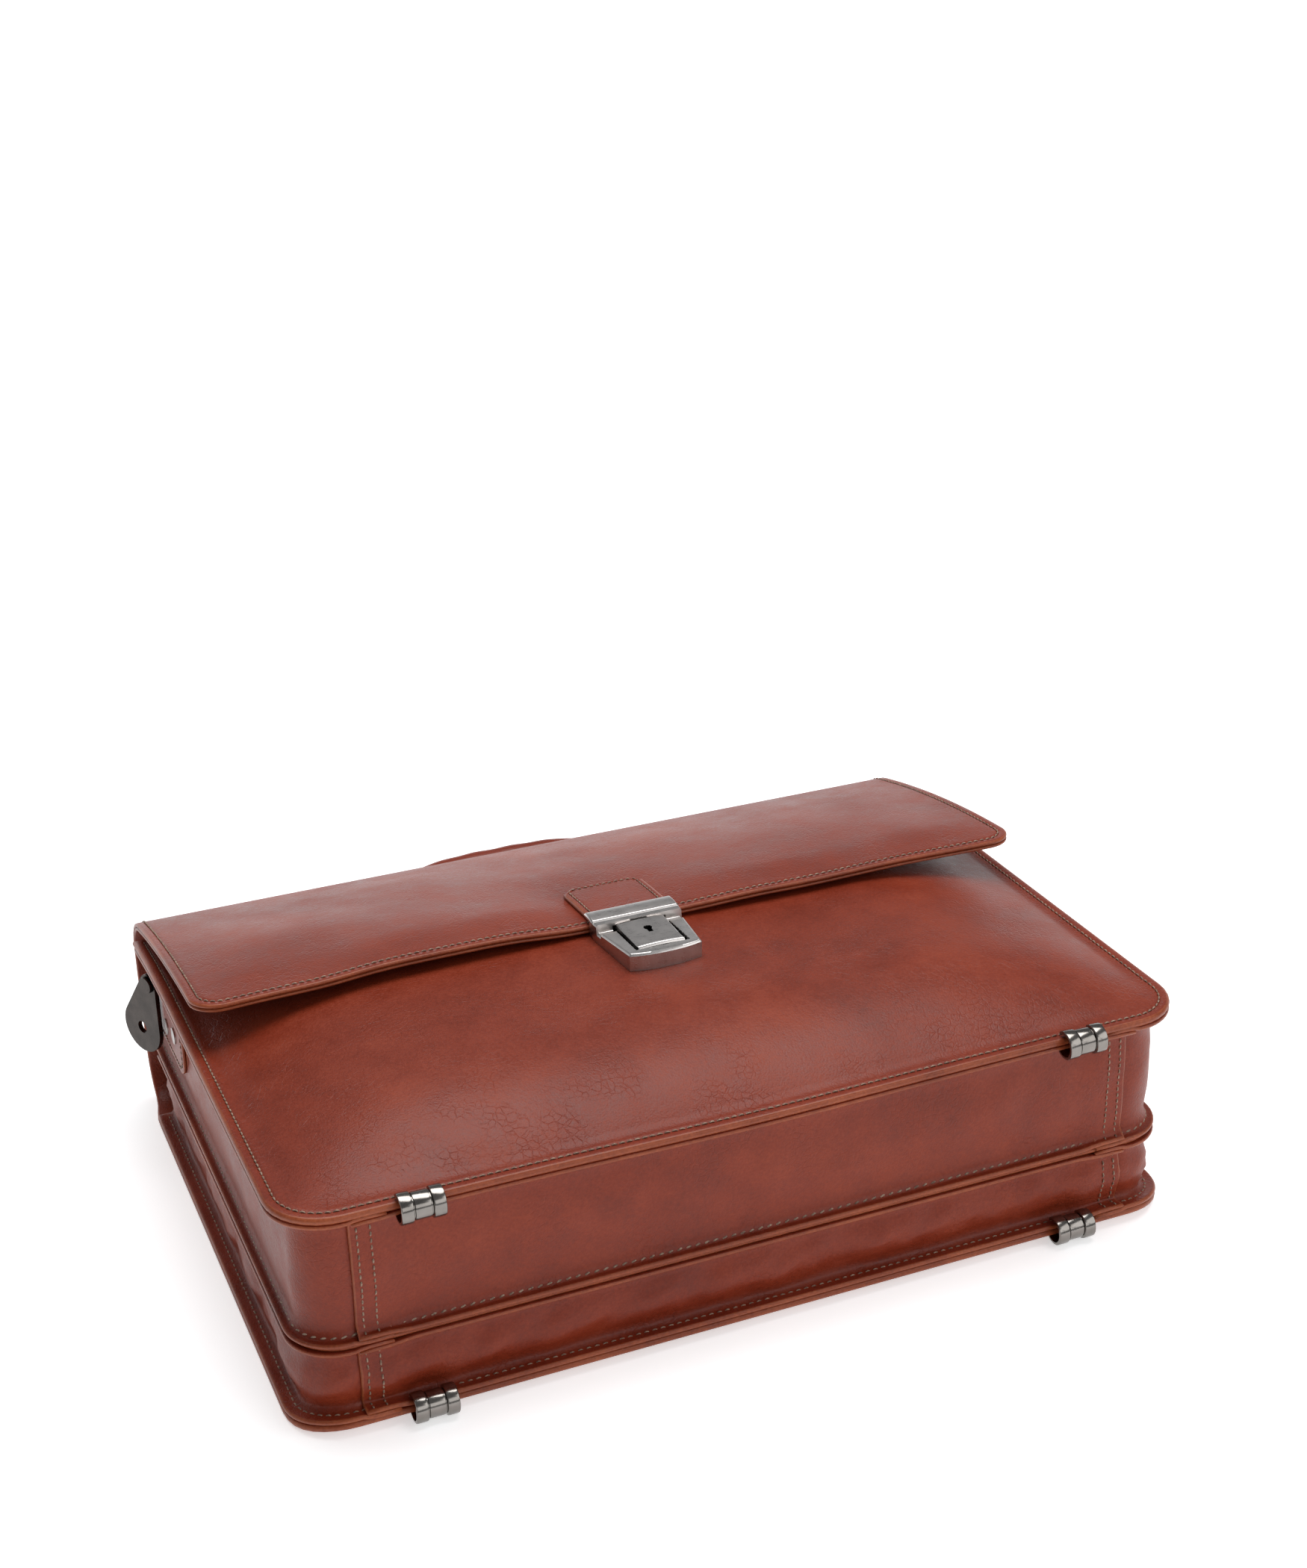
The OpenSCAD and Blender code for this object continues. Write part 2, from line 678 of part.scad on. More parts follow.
// Metal clamp over the end of the tab and the flap, with a notch below for the latch bolt
module lock_cap() color(satin) placed() difference() {
    translate([-lock_w / 2, clamp_y0, cap_low]) cube([lock_w, clamp_y1 - clamp_y0, cap_top - cap_low]);
    translate([-lock_w, flap_edge_y - 0.8, 0]) cube([2 * lock_w, big, cap_top - cap_plate]);
    translate([-tongue_w / 2 - 1, 0, 0]) cube([tongue_w + 2, big, lock_z + 3]);
}

// Tongue that drops from the clamp into the slot beside the lock
module lock_tongue() color(gunmetal) placed() difference() {
    translate([-tongue_w / 2, tongue_y, lock_z + 3 - tongue_drop]) cube([tongue_w, tongue_t, tongue_drop]);
    translate([-tongue_w / 2 + 2.5, tongue_y - cut, lock_z - 1.2]) cube([tongue_w - 5, 4, 3.6]);
}

back_panel();
back_lining();
rear_gusset(-1);  // rear_gusset_left
rear_gusset(0);  // rear_gusset_bottom
rear_gusset(1);  // rear_gusset_right
divider_panel();
front_gusset(-1);  // front_gusset_left
front_gusset(0);  // front_gusset_bottom
front_gusset(1);  // front_gusset_right
front_panel();
front_lining();
seam_clip(-clip_x, front_z - lips_t / 2);  // clip_front_left
seam_clip(clip_x, front_z - lips_t / 2);  // clip_front_right
seam_clip(-clip_x, clip_r);  // clip_rear_left
seam_clip(clip_x, clip_r);  // clip_rear_right
lug_chape(-1);  // lug_chape_left
lug_chape(1);  // lug_chape_right
lug_stud(-1);  // lug_stud_left
lug_stud(1);  // lug_stud_right
chape_rivets(-1);  // chape_rivets_left
chape_rivets(1);  // chape_rivets_right
strap_lug(-1);  // strap_lug_left
strap_lug(1);  // strap_lug_right
slip_pocket();
pen_loops();
zip_pocket();
zip_tape();
zip_slider();
zip_puller();
lock_body();
lock_base_plate();
lock_screws();
press_plate();
latch_bolt();
key_cylinder();
top_strip();
top_stiffener();
top_lining();
handle_bracket(-1);  // handle_bracket_left
handle_bracket(1);  // handle_bracket_right
handle_pin(-1);  // handle_pin_left
handle_pin(1);  // handle_pin_right
handle_rivets();
handle_eye(-1);  // handle_eye_left
handle_eye(1);  // handle_eye_right
handle_grip();
flap_panel();
flap_lining();
lock_tab();
lock_cap();
lock_tongue();
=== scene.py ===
import math
from math import cos, pi, radians, sin
import bpy
import numpy as np
from mathutils import Matrix, Vector


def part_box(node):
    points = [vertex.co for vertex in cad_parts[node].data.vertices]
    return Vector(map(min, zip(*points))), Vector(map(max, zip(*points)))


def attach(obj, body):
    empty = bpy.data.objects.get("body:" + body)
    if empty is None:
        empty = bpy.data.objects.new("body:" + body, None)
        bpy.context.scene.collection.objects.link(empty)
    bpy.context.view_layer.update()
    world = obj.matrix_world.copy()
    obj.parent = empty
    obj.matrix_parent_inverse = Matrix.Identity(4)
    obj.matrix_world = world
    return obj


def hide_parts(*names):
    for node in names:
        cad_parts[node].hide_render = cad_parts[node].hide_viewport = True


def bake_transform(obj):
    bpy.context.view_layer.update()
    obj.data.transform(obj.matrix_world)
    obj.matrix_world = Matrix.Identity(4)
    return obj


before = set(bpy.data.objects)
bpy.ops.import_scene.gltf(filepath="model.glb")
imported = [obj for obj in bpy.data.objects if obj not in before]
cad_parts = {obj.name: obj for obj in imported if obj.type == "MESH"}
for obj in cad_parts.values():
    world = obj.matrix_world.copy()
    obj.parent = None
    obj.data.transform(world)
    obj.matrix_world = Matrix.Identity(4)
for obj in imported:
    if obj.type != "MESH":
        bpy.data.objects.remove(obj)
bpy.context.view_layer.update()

# ---- Sizes, in millimetres. X across the bag, Y from the bottom seam, Z up from the back panel ----

MM = 0.001
SEAM_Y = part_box("back_panel")[0].y


def cad(node):
    """Lowest and highest corner of a CAD node, in millimetres from the bottom seam."""
    lo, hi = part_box(node)
    return [np.array([c.x, c.y - SEAM_Y, c.z]) / MM for c in (lo, hi)]


HALF_W = cad("back_panel")[1][0]
CORNER_R = 25.0
PANEL_T = 3.5
WALL_T = 2.0
SEAM_IN = 8.0  # gusset walls stand this far inside the seams
MID_IN = 3.0  # the middle seam's lips stop this far inside
FRONT_Z = cad("front_gusset_bottom")[1][2] + PANEL_T
MID_Z = cad("divider_panel")[0][2]
DIVIDER_TOP = cad("divider_panel")[1][2]
MOUTH_Y = cad("front_gusset_left")[1][1]
REAR_MOUTH_Y = cad("rear_gusset_left")[1][1]
PANEL_Y = cad("front_panel")[1][1]
TOP_Y = cad("top_strip")[1][1]
LOCK_LO, LOCK_HI = cad("lock_body")
CAP_LO, CAP_HI = cad("lock_cap")
FLAP_HALF = cad("flap_panel")[1][0]
FLAP_Y = cad("lock_tab")[0][1] - 3.0
FOLD_R, BACK_R = 22.0, 25.0
FOLD_C = (TOP_Y - FOLD_R, cad("top_strip")[1][2] - FOLD_R * sin(radians(44)))
BACK_C = (TOP_Y - BACK_R, BACK_R)
FLAP_SLOPE = 15.2  # degrees, where the flap leaves the front fold
FLAP_R = 700.0  # the flap's own wide curve
STRIP_MID = 52.0
LIFT = 3.75  # the rear clips hold the bottom seam off the floor
LIFT_Y = 22.0
FRONT_SLOPE_Y = 225.0
FRONT_SLOPE_Z = FRONT_Z - 3.5
FRONT_MOUTH_Z = FRONT_Z - 9.5


# ---- Materials ----

def shader(name):
    material = bpy.data.materials.new(name)
    material.use_nodes = True
    tree = material.node_tree
    return material, tree, tree.nodes["Principled BSDF"]


def wire(tree, node, **sockets):
    """Sets a node's sockets to values, or links them to other nodes' outputs."""
    for key, value in sockets.items():
        socket = node.inputs[key.replace("_", " ")]
        if isinstance(value, bpy.types.NodeSocket):
            tree.links.new(value, socket)
        else:
            socket.default_value = value
    return node


def add(tree, kind, **sockets):
    return wire(tree, tree.nodes.new("ShaderNode" + kind), **sockets)


def object_places(tree):
    return add(tree, "TexCoord").outputs["Object"]


def maths(tree, operation, a, b=0.0, c=0.0):
    node = tree.nodes.new("ShaderNodeMath")
    node.operation = operation
    for socket, value in zip(node.inputs, (a, b, c)):
        if isinstance(value, bpy.types.NodeSocket):
            tree.links.new(value, socket)
        else:
            socket.default_value = value
    return node.outputs[0]


def ramp(tree, factor, stops):
    node = tree.nodes.new("ShaderNodeValToRGB")
    elements = node.color_ramp.elements
    while len(elements) < len(stops):
        elements.new(0.5)
    for element, (position, colour) in zip(elements, stops):
        element.position = position
        element.color = (*colour, 1.0) if hasattr(colour, "__len__") else (colour,) * 3 + (1.0,)
    tree.links.new(factor, node.inputs[0])
    return node.outputs[0]


def noise_at(tree, where, size, detail=3.0, roughness=0.55, distortion=0.0):
    """Noise whose features are about size millimetres across."""
    return add(tree, "TexNoise", Vector=where, Scale=1 / (size * MM), Detail=detail, Roughness=roughness,
               Distortion=distortion).outputs[0]


def bump(tree, height, depth, strength=1.0, under=None):
    """Bump of that depth in millimetres."""
    sockets = {"Height": height, "Distance": depth * MM, "Strength": strength}
    if under is not None:
        sockets["Normal"] = under
    return add(tree, "Bump", **sockets).outputs[0]


def leather(name, dark, base, light, rough=(0.3, 0.46), grain=0.9, depth=0.05, coat=0.25, crease=0.06):
    """Grained leather: clouded colour, pores grain mm apart and depth mm deep, and a net of fine creases."""
    material, tree, bsdf = shader(name)
    where = object_places(tree)
    cloud = noise_at(tree, where, 70, 4, 0.55, 0.4)
    patch = noise_at(tree, where, 16, 4, 0.6)
    fleck = noise_at(tree, where, 1.3, 3, 0.65)
    tone = maths(tree, "MULTIPLY_ADD", cloud, 0.4, maths(tree, "MULTIPLY", patch, 0.26))
    tone = maths(tree, "MULTIPLY_ADD", fleck, 0.34, tone)
    colour = ramp(tree, tone, [(0.34, dark), (0.5, base), (0.66, light)])
    pore = add(tree, "TexVoronoi", Vector=where, Scale=1 / (grain * MM), Randomness=1.0).outputs["Distance"]
    folds = tree.nodes.new("ShaderNodeTexVoronoi")
    folds.feature = "DISTANCE_TO_EDGE"
    warped = add(tree, "TexNoise", Vector=where, Scale=1 / (9 * MM), Detail=2.0)
    shift = tree.nodes.new("ShaderNodeVectorMath")
    shift.operation = "MULTIPLY_ADD"
    shift.inputs[1].default_value = (0.004,) * 3
    tree.links.new(warped.outputs["Color"], shift.inputs[0])
    tree.links.new(where, shift.inputs[2])
    wire(tree, folds, Scale=1 / (3.4 * MM), Vector=shift.outputs[0])
    line = ramp(tree, folds.outputs["Distance"], [(0.0, 0.0), (0.09, 1.0)])
    showing = ramp(tree, noise_at(tree, where, 24, 2), [(0.45, 0.0), (0.62, 1.0)])
    wrinkle = maths(tree, "MULTIPLY", maths(tree, "SUBTRACT", 1.0, line), showing)
    gloss = maths(tree, "MULTIPLY_ADD", patch, 0.5, maths(tree, "MULTIPLY", fleck, 0.5))
    gloss = ramp(tree, gloss, [(0.35, rough[0]), (0.65, rough[1])])
    normal = bump(tree, noise_at(tree, where, 5.5, 3), 0.14)
    normal = bump(tree, wrinkle, -crease, 1.0, normal)
    normal = bump(tree, pore, depth, 1.0, normal)
    normal = bump(tree, fleck, depth * 0.8, 1.0, normal)
    wire(tree, bsdf, Base_Color=colour, Roughness=gloss, Normal=normal, Coat_Weight=coat,
         Coat_Roughness=0.22, Specular_IOR_Level=0.23)
    return material


def metal(name, colour, dark, rough=(0.22, 0.36), brush=(1, 1, 1), brush_depth=0.01):
    """Brushed or polished metal; brush stretches the scratches along an axis."""
    material, tree, bsdf = shader(name)
    where = object_places(tree)
    stretched = add(tree, "Mapping", Scale=brush, Vector=where)
    scratch = noise_at(tree, stretched.outputs[0], 0.35, 2)
    smudge = noise_at(tree, where, 7, 3)
    mixed = maths(tree, "MULTIPLY_ADD", scratch, 0.6, maths(tree, "MULTIPLY", smudge, 0.4))
    wire(tree, bsdf, Base_Color=ramp(tree, smudge, [(0.3, dark), (0.7, colour)]),
         Roughness=ramp(tree, mixed, [(0.35, rough[0]), (0.65, rough[1])]),
         Normal=bump(tree, scratch, brush_depth), Metallic=1.0)
    return material


def woven(name, dark, light, thread=0.45, depth=0.12, rough=0.85):
    """Fine plain weave: two crossed waves, with slubs."""
    material, tree, bsdf = shader(name)
    where = object_places(tree)
    waves = []
    for axis in ("X", "Y"):
        wave = add(tree, "TexWave", Vector=where, Scale=0.3 / (thread * MM), Distortion=0.8)
        wave.bands_direction = axis
        waves.append(wave.outputs["Fac"])
    cross = maths(tree, "MULTIPLY", waves[0], waves[1])
    slub = noise_at(tree, where, 3, 4)
    tone = maths(tree, "MULTIPLY_ADD", cross, 0.5, maths(tree, "MULTIPLY", slub, 0.5))
    wire(tree, bsdf, Base_Color=ramp(tree, tone, [(0.2, dark), (0.7, light)]),
         Normal=bump(tree, cross, depth), Roughness=rough, Sheen_Weight=0.2)
    return material


def twine(name, dark, light):
    """Sewing thread."""
    material, tree, bsdf = shader(name)
    where = object_places(tree)
    tone = noise_at(tree, where, 1.2, 3)
    wire(tree, bsdf, Base_Color=ramp(tree, tone, [(0.35, dark), (0.65, light)]),
         Normal=bump(tree, noise_at(tree, where, 0.3, 2), 0.05), Roughness=0.6)
    return material


LEATHER = leather("cognac_leather", (0.125, 0.015, 0.0052), (0.185, 0.024, 0.0082), (0.245, 0.038, 0.014),
                  rough=(0.34, 0.5), depth=0.085, coat=0.05, crease=0.09)
INNER = leather("inner_leather", (0.09, 0.03, 0.015), (0.14, 0.05, 0.026), (0.2, 0.08, 0.04),
                rough=(0.5, 0.65), coat=0.05)
EDGE = leather("burnished_edge", (0.14, 0.024, 0.008), (0.23, 0.048, 0.016), (0.34, 0.085, 0.03),
               rough=(0.34, 0.5), grain=0.5, depth=0.03, coat=0.15, crease=0.0)
LINING = woven("lining_cloth", (0.13, 0.085, 0.05), (0.26, 0.18, 0.11))
TAPE = woven("zip_tape_cloth", (0.03, 0.02, 0.014), (0.08, 0.05, 0.035), thread=0.6)
THREAD = twine("thread", (0.13, 0.07, 0.045), (0.36, 0.24, 0.17))
SATIN = metal("satin_nickel", (0.56, 0.53, 0.51), (0.48, 0.455, 0.44), rough=(0.26, 0.34),
              brush=(0.08, 1, 1), brush_depth=0.003)
GUNMETAL = metal("gunmetal", (0.25, 0.232, 0.215), (0.2, 0.185, 0.17), rough=(0.14, 0.22), brush_depth=0.002)
# Near-black metal on the floor of the shallow keyhole: painted shade standing in for the deep keyway.
KEYWAY_PAINTED_SHADE = metal("keyway_black", (0.012, 0.011, 0.01), (0.006, 0.006, 0.006), rough=(0.6, 0.8),
             brush_depth=0.001)
# Near-black metal: painted shade in the lock's recess, and a painted dark reflection on the strap lugs and their
# studs.
PAINTED_SHADE_METAL = metal("black_nickel", (0.06, 0.05, 0.045), (0.035, 0.03, 0.027), rough=(0.18, 0.3),
                    brush_depth=0.002)
LEATHERS = (LEATHER, EDGE)
INNERS = (INNER, EDGE)


# ---- Mesh helpers ----

def make(name, verts, faces, materials, slot, body, index=None, replaces=()):
    """A new piece that rides on a body; body may instead be a tuple (a, b, start, end) naming a bend between two
    bodies, whose parts are not used: the piece is then left in place, unparented.
    """
    mesh = bpy.data.meshes.new(name)
    points = np.asarray(verts, float).reshape(-1, 3) * MM
    points[:, 1] += SEAM_Y
    mesh.from_pydata(points.tolist(), [], [list(map(int, f)) for f in faces])
    for material in materials:
        mesh.materials.append(material)
    if index is not None:
        mesh.polygons.foreach_set("material_index", np.asarray(index, np.int32))
    mesh.polygons.foreach_set("use_smooth", np.ones(len(mesh.polygons), bool))
    mesh.update()
    piece = bpy.data.objects.new(name, mesh)
    bpy.context.scene.collection.objects.link(piece)
    if isinstance(body, str):
        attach(piece, body)
    else:
        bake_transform(piece)
    if replaces:
        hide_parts(*replaces)
    return piece


def in_frame(y, z):
    """A point of the side view, in the frame."""
    return (0.0, y * MM + SEAM_Y, z * MM)


def floats(*values):
    return [np.asarray(value, float) for value in values]


def run_along(points):
    """Distance travelled along a row of points, at each of them."""
    return np.r_[0.0, np.cumsum(np.linalg.norm(np.diff(points, axis=0), axis=1))]


def joined(parts):
    """Several (verts, faces) as one."""
    verts, faces, count = [], [], 0
    for v, f in parts:
        verts.append(np.asarray(v, float).reshape(-1, 3))
        faces += [[i + count for i in face] for face in f]
        count += len(verts[-1])
    return np.concatenate(verts), faces


def sewn(name, rows, body="root"):
    make(name, *joined(rows), [THREAD], "thread", body)


def smooth(t):
    t = np.clip(t, 0.0, 1.0)
    return t * t * (3 - 2 * t)


def ripple(a, b, size, seed, waves=8, squeeze=1.0):
    """Smooth random waves about size millimetres long; squeeze shortens them along b."""
    rng = np.random.default_rng(seed)
    total = 0.0
    for _ in range(waves):
        angle, phase = rng.uniform(0, 2 * pi, 2)
        f = 2 * pi / size * rng.uniform(0.6, 1.5)
        along = np.asarray(a) * cos(angle) + squeeze * np.asarray(b) * sin(angle)
        total = total + np.sin(f * along + phase)
    return total / math.sqrt(waves)


def lay(surface, xy, height, e=0.3):
    """Points at that height above the surface at flat places xy, and the surface's normals there."""
    x, y = xy[:, 0], xy[:, 1]
    across = surface(x + e, y) - surface(x - e, y)
    up = surface(x, y + e) - surface(x, y - e)
    normal = np.cross(across, up)
    normal /= np.linalg.norm(normal, axis=1)[:, None]
    return surface(x, y) + normal * np.broadcast_to(height, len(x))[:, None], normal


def quads(a, b, closed=True):
    """Faces between two rows of vertex indices."""
    n = len(a)
    return [[a[k], b[k], b[(k + 1) % n], a[(k + 1) % n]] for k in range(n if closed else n - 1)]


def sheet(surface, size, thick, low=0.0, high=0.0, border=8.0, edge=0.9, step=6.0, lift=0.0,
          groove=None, groove_depth=0.35, turns=8, skip=()):
    """A sheet of leather on a surface, from y 0 to size[1], with rounded corners and edges.

    Border rings follow the outline, so a groove can run at one distance from it. skip names the sides
    with no groove. Returns vertices, faces and the material index, 1 for the edge.
    """
    w, l = size[0] / 2, size[1]
    rows = []

    def corner(r):
        rho = r - border
        if rho <= 0:
            return [(border, w - border, (1.0, -1.0))]
        out = []
        for k in range(turns + 1):
            a = pi / 2 * k / turns
            out.append((border + rho * (1 - cos(a)), w - r + rho * sin(a),
                        (sin(a), -cos(a))))
        return out

    rows += corner(low)
    top = [(l - y, h, (o[0], -o[1])) for y, h, o in reversed(corner(high))]
    y0, y1 = rows[-1][0], top[0][0]
    count = max(1, math.ceil((y1 - y0) / step))
    rows += [(y0 + (y1 - y0) * k / count, w - border, (1.0, 0.0)) for k in range(1, count)]
    rows += top
    cols = max(2, math.ceil(2 * w / step))
    s = np.linspace(-1, 1, cols + 1)
    grid = np.array([[(h * t, y) for t in s] for y, h, _ in rows])
    nv, nu = grid.shape[:2]
    ring, out = [], []
    first, last = rows[0][2], rows[-1][2]
    for j in range(nu):
        ring.append(j)
        out.append((first[0] * s[j] if j in (0, nu - 1) else 0.0, -1.0))
    for i in range(1, nv - 1):
        ring.append(i * nu + nu - 1)
        out.append(rows[i][2])
    for j in range(nu - 1, -1, -1):
        ring.append((nv - 1) * nu + j)
        out.append((last[0] * s[j] if j in (0, nu - 1) else 0.0, 1.0))
    for i in range(nv - 2, 0, -1):
        ring.append(i * nu)
        out.append((-rows[i][2][0], rows[i][2][1]))
    flat = grid.reshape(-1, 2)
    base, out = flat[ring], np.array(out)
    r = min(edge, thick / 2)
    insets = [i for i in (border * 0.75, border * 0.55) if groove is None or i > groove + 1.2]
    if groove is not None:
        insets += [groove + 0.9, groove + 0.35, groove - 0.35, groove - 0.9]
    insets = [i for i in insets if i > r + 0.3] + [r]
    profile = [(i, 0.0) for i in insets]
    profile += [(0.3 * r, -0.28 * r), (0.0, -r), (0.0, -(thick - r)), (0.3 * r, -thick + 0.28 * r),
                (r, -thick)]
    rim_start = len(insets) - 1
    verts = [lay(surface, flat, lift)[0]]
    rings = [list(ring)]
    count = len(flat)
    for inset, h in profile:
        place = base + out * (border - inset)
        depth = np.zeros(len(place))
        if groove is not None and h == 0.0 and abs(inset - groove) < 0.5:
            depth -= groove_depth
            for side in skip:
                on = {"top": out[:, 1] > 0.99, "low": out[:, 1] < -0.99, "sides": abs(out[:, 0]) > 0.99}
                depth[on[side]] = 0.0
        verts.append(lay(surface, place, lift + h + depth)[0])
        rings.append(list(range(count, count + len(place))))
        count += len(place)
    under = count
    verts.append(lay(surface, flat, lift - thick)[0])
    rings.append([under + i for i in ring])
    faces, index = [], []
    for i in range(nv - 1):
        for j in range(nu - 1):
            a = i * nu + j
            quad = [a, a + 1, a + nu + 1, a + nu]
            faces.append(quad)
            faces.append([under + k for k in reversed(quad)])
            index += [0, 0]
    for k in range(len(rings) - 1):
        made = quads(rings[k], rings[k + 1])
        faces += made
        index += [1 if rim_start + 1 <= k <= rim_start + 4 else 0] * len(made)
    return np.concatenate(verts), faces, index


def outline(size, inset, low=0.0, high=0.0, sides="lbr", step=1.0):
    """Flat places along the outline at one inset: down the left, along the low edge, up the right, back."""
    w, l = size[0] / 2, size[1]
    path = []
    rl, rh = max(low - inset, 0.0), max(high - inset, 0.0)
    yl = low if low > inset else inset
    yh = l - (high if high > inset else inset)

    def arc(cx, cy, r, a0, a1):
        n = max(2, int(abs(a1 - a0) * r / step))
        angles = [a0 + (a1 - a0) * k / n for k in range(n + 1)]
        return [(cx + r * cos(a), cy + r * sin(a)) for a in angles]

    def run(p, q):
        n = max(1, int(math.dist(p, q) / step))
        return [(p[0] + (q[0] - p[0]) * k / n, p[1] + (q[1] - p[1]) * k / n) for k in range(n + 1)]

    xi = w - inset
    xl, xh = w - inset - rl, w - inset - rh
    if "l" in sides:
        path += run((-xi, yh), (-xi, yl))
        if rl and "b" in sides:
            path += arc(-xl, yl, rl, pi, 1.5 * pi)
    if "b" in sides:
        path += run((-xl, inset), (xl, inset))
    if "r" in sides:
        if rl and "b" in sides:
            path += arc(xl, yl, rl, -pi / 2, 0)
        path += run((xi, yl), (xi, yh))
    if "t" in sides:
        if rh and "r" in sides:
            path += arc(xh, yh, rh, 0, pi / 2)
        path += run((xh, l - inset), (-xh, l - inset))
        if rh and "l" in sides:
            path += arc(-xh, yh, rh, pi / 2, pi)
    return np.array(path)


def stitches(surface, path, pitch=3.2, length=2.5, width=0.8, proud=0.3, slant=0.0, lift=0.0):
    """A row of stitches along a flat path on a surface: arched capsules whose ends sink in."""
    points, normals = lay(surface, path, lift)
    steps = np.linalg.norm(np.diff(points, axis=0), axis=1)
    keep = np.r_[True, steps > 1e-6]
    points, normals = points[keep], normals[keep]
    travel = run_along(points)
    count = int(travel[-1] / pitch)
    centres = (np.arange(count) + 0.5) * travel[-1] / max(count, 1)

    def at(array, s):
        return np.stack([np.interp(s, travel, array[:, k]) for k in range(3)], axis=-1)

    rng = np.random.default_rng(count)
    stations = [(-0.5, -0.5, 0.45), (-0.36, 0.2, 0.9), (-0.12, 0.9, 1.0)]
    stations += [(-along, rise, girth) for along, rise, girth in reversed(stations)]
    sides = 6
    verts, faces = [], []
    for s in centres:
        c, n = at(points, s), at(normals, s)
        t = at(points, min(s + 0.8, travel[-1])) - at(points, max(s - 0.8, 0.0))
        t /= np.linalg.norm(t)
        n /= np.linalg.norm(n)
        b = np.cross(n, t)
        a = slant + rng.normal(0, 0.05)
        t, b = t * cos(a) + b * sin(a), b * cos(a) - t * sin(a)
        start = len(verts)
        for along, rise, girth in stations:
            centre = c + t * (along * length) + n * (rise * proud)
            for k in range(sides):
                q = 2 * pi * k / sides
                verts.append(centre + b * (cos(q) * width / 2 * girth)
                             + n * (sin(q) * width * 0.36 * girth))
        for r in range(len(stations) - 1):
            near, far = start + r * sides, start + (r + 1) * sides
            for k in range(sides):
                m = (k + 1) % sides
                faces.append([near + k, near + m, far + m, far + k])
        faces.append([start + k for k in reversed(range(sides))])
        faces.append([start + (len(stations) - 1) * sides + k for k in range(sides)])
    return verts, faces


def profile_surface(points, mirrored=False, width_at=None):
    """Surface that follows a side-view profile of (Y, Z) points and runs straight across X."""
    p = np.asarray(points, float)
    s = run_along(p)
    d0 = (p[1] - p[0]) / np.linalg.norm(p[1] - p[0])
    d1 = (p[-1] - p[-2]) / np.linalg.norm(p[-1] - p[-2])
    p = np.concatenate([[p[0] - 2 * d0], p, [p[-1] + 2 * d1]])
    s = np.r_[-2.0, s, s[-1] + 2.0]

    def surface(x, t):
        x = np.asarray(x, float)
        wide = x if width_at is None else x * width_at(t)
        across = -wide if mirrored else wide
        return np.stack([across, np.interp(t, s, p[:, 0]), np.interp(t, s, p[:, 1])], axis=-1)

    return surface, s[-2]


def arc_points(c, r, a0, a1, n=40):
    angles = np.radians(np.linspace(a0, a1, n))
    return [(c[0] + r * cos(a), c[1] + r * sin(a)) for a in angles]


# ---- Front panel ----

def dip(x, y):
    """How far the front seam hangs below its straight line in the middle of the bottom edge."""
    return 1.6 * np.exp(-(x / 75.0) ** 2) * np.exp(-np.clip(y, 0, None) / 28.0)


def seam_z(y):
    """Height of the front seam: level, then bending down to the mouth."""
    y = np.asarray(y, float)
    return np.interp(y, [-5, 0, FRONT_SLOPE_Y - 18, FRONT_SLOPE_Y + 14, PANEL_Y + 5],
                     [FRONT_Z, FRONT_Z, FRONT_SLOPE_Z + 0.3, FRONT_SLOPE_Z - 1.8, FRONT_MOUTH_Z - 0.6])


def front_surface(x, y):
    """The front panel's face: crowned, level under the lock, with soft waves and two slanting dents."""
    x, y = floats(x, y)
    seam = seam_z(y) - dip(x, y)
    side = 1 - (1 - np.clip((HALF_W - 9 - np.abs(x)) / 100.0, 0, 1)) ** 2.3
    low = 1 - (1 - np.clip((y - 9) / 66.0, 0, 1)) ** 2.3
    ridge = LOCK_LO[2] - 0.1 - 2.4 * np.log1p(np.exp((y - 152) / 12))
    crown = (ridge - seam) * side * low
    near_lock = np.exp(-(x / 34.0) ** 4 - ((y - 124) / 34.0) ** 4)
    inner = side * low
    soft = 0.55 * ripple(x, y, 120, 5) * inner * (1 - near_lock)
    dent = -1.1 * np.exp(-(((x - 62) - 0.55 * (y - 95)) / 16.0) ** 2 - ((y - 95) / 40.0) ** 2)
    dent += -0.8 * np.exp(-(((x + 60) + 0.4 * (y - 100)) / 18.0) ** 2 - ((y - 100) / 36.0) ** 2)
    level = (LOCK_LO[2] - 0.05 - seam - crown) * near_lock
    z = seam + crown + soft + dent * inner * (1 - near_lock) + level * 0.9
    return np.stack([x, y, z], axis=-1)


FRONT_SIZE = (2 * HALF_W, PANEL_Y)
STITCH_IN = 4.6  # stitch rows run this far inside an edge
SKIM = 0.3  # the leather is drawn this much thinner than the CAD panel
PANEL_LOOK = {"low": CORNER_R, "border": 12, "edge": 1.3, "groove": STITCH_IN}
LINING_T, LINING_IN = 0.8, SEAM_IN + WALL_T + 0.5
LINING_LOOK = {"low": CORNER_R - LINING_IN, "border": 6, "edge": 0.3, "lift": -PANEL_T - 0.1, "step": 9}
SUNK = -0.1  # stitch rows sit this low in their groove
v, f, m = sheet(front_surface, FRONT_SIZE, PANEL_T - SKIM, **PANEL_LOOK)
make("front_panel_leather", v, f, LEATHERS, "leather", "root", m, ["front_panel"])
rows = [stitches(front_surface, outline(FRONT_SIZE, STITCH_IN, low=CORNER_R, sides="lbr"), lift=SUNK)]
sewn("front_panel_stitches", rows)
v, f, _ = sheet(lambda x, y: front_surface(x, y + LINING_IN), (2 * (HALF_W - LINING_IN), MOUTH_Y - LINING_IN),
                LINING_T, **LINING_LOOK)
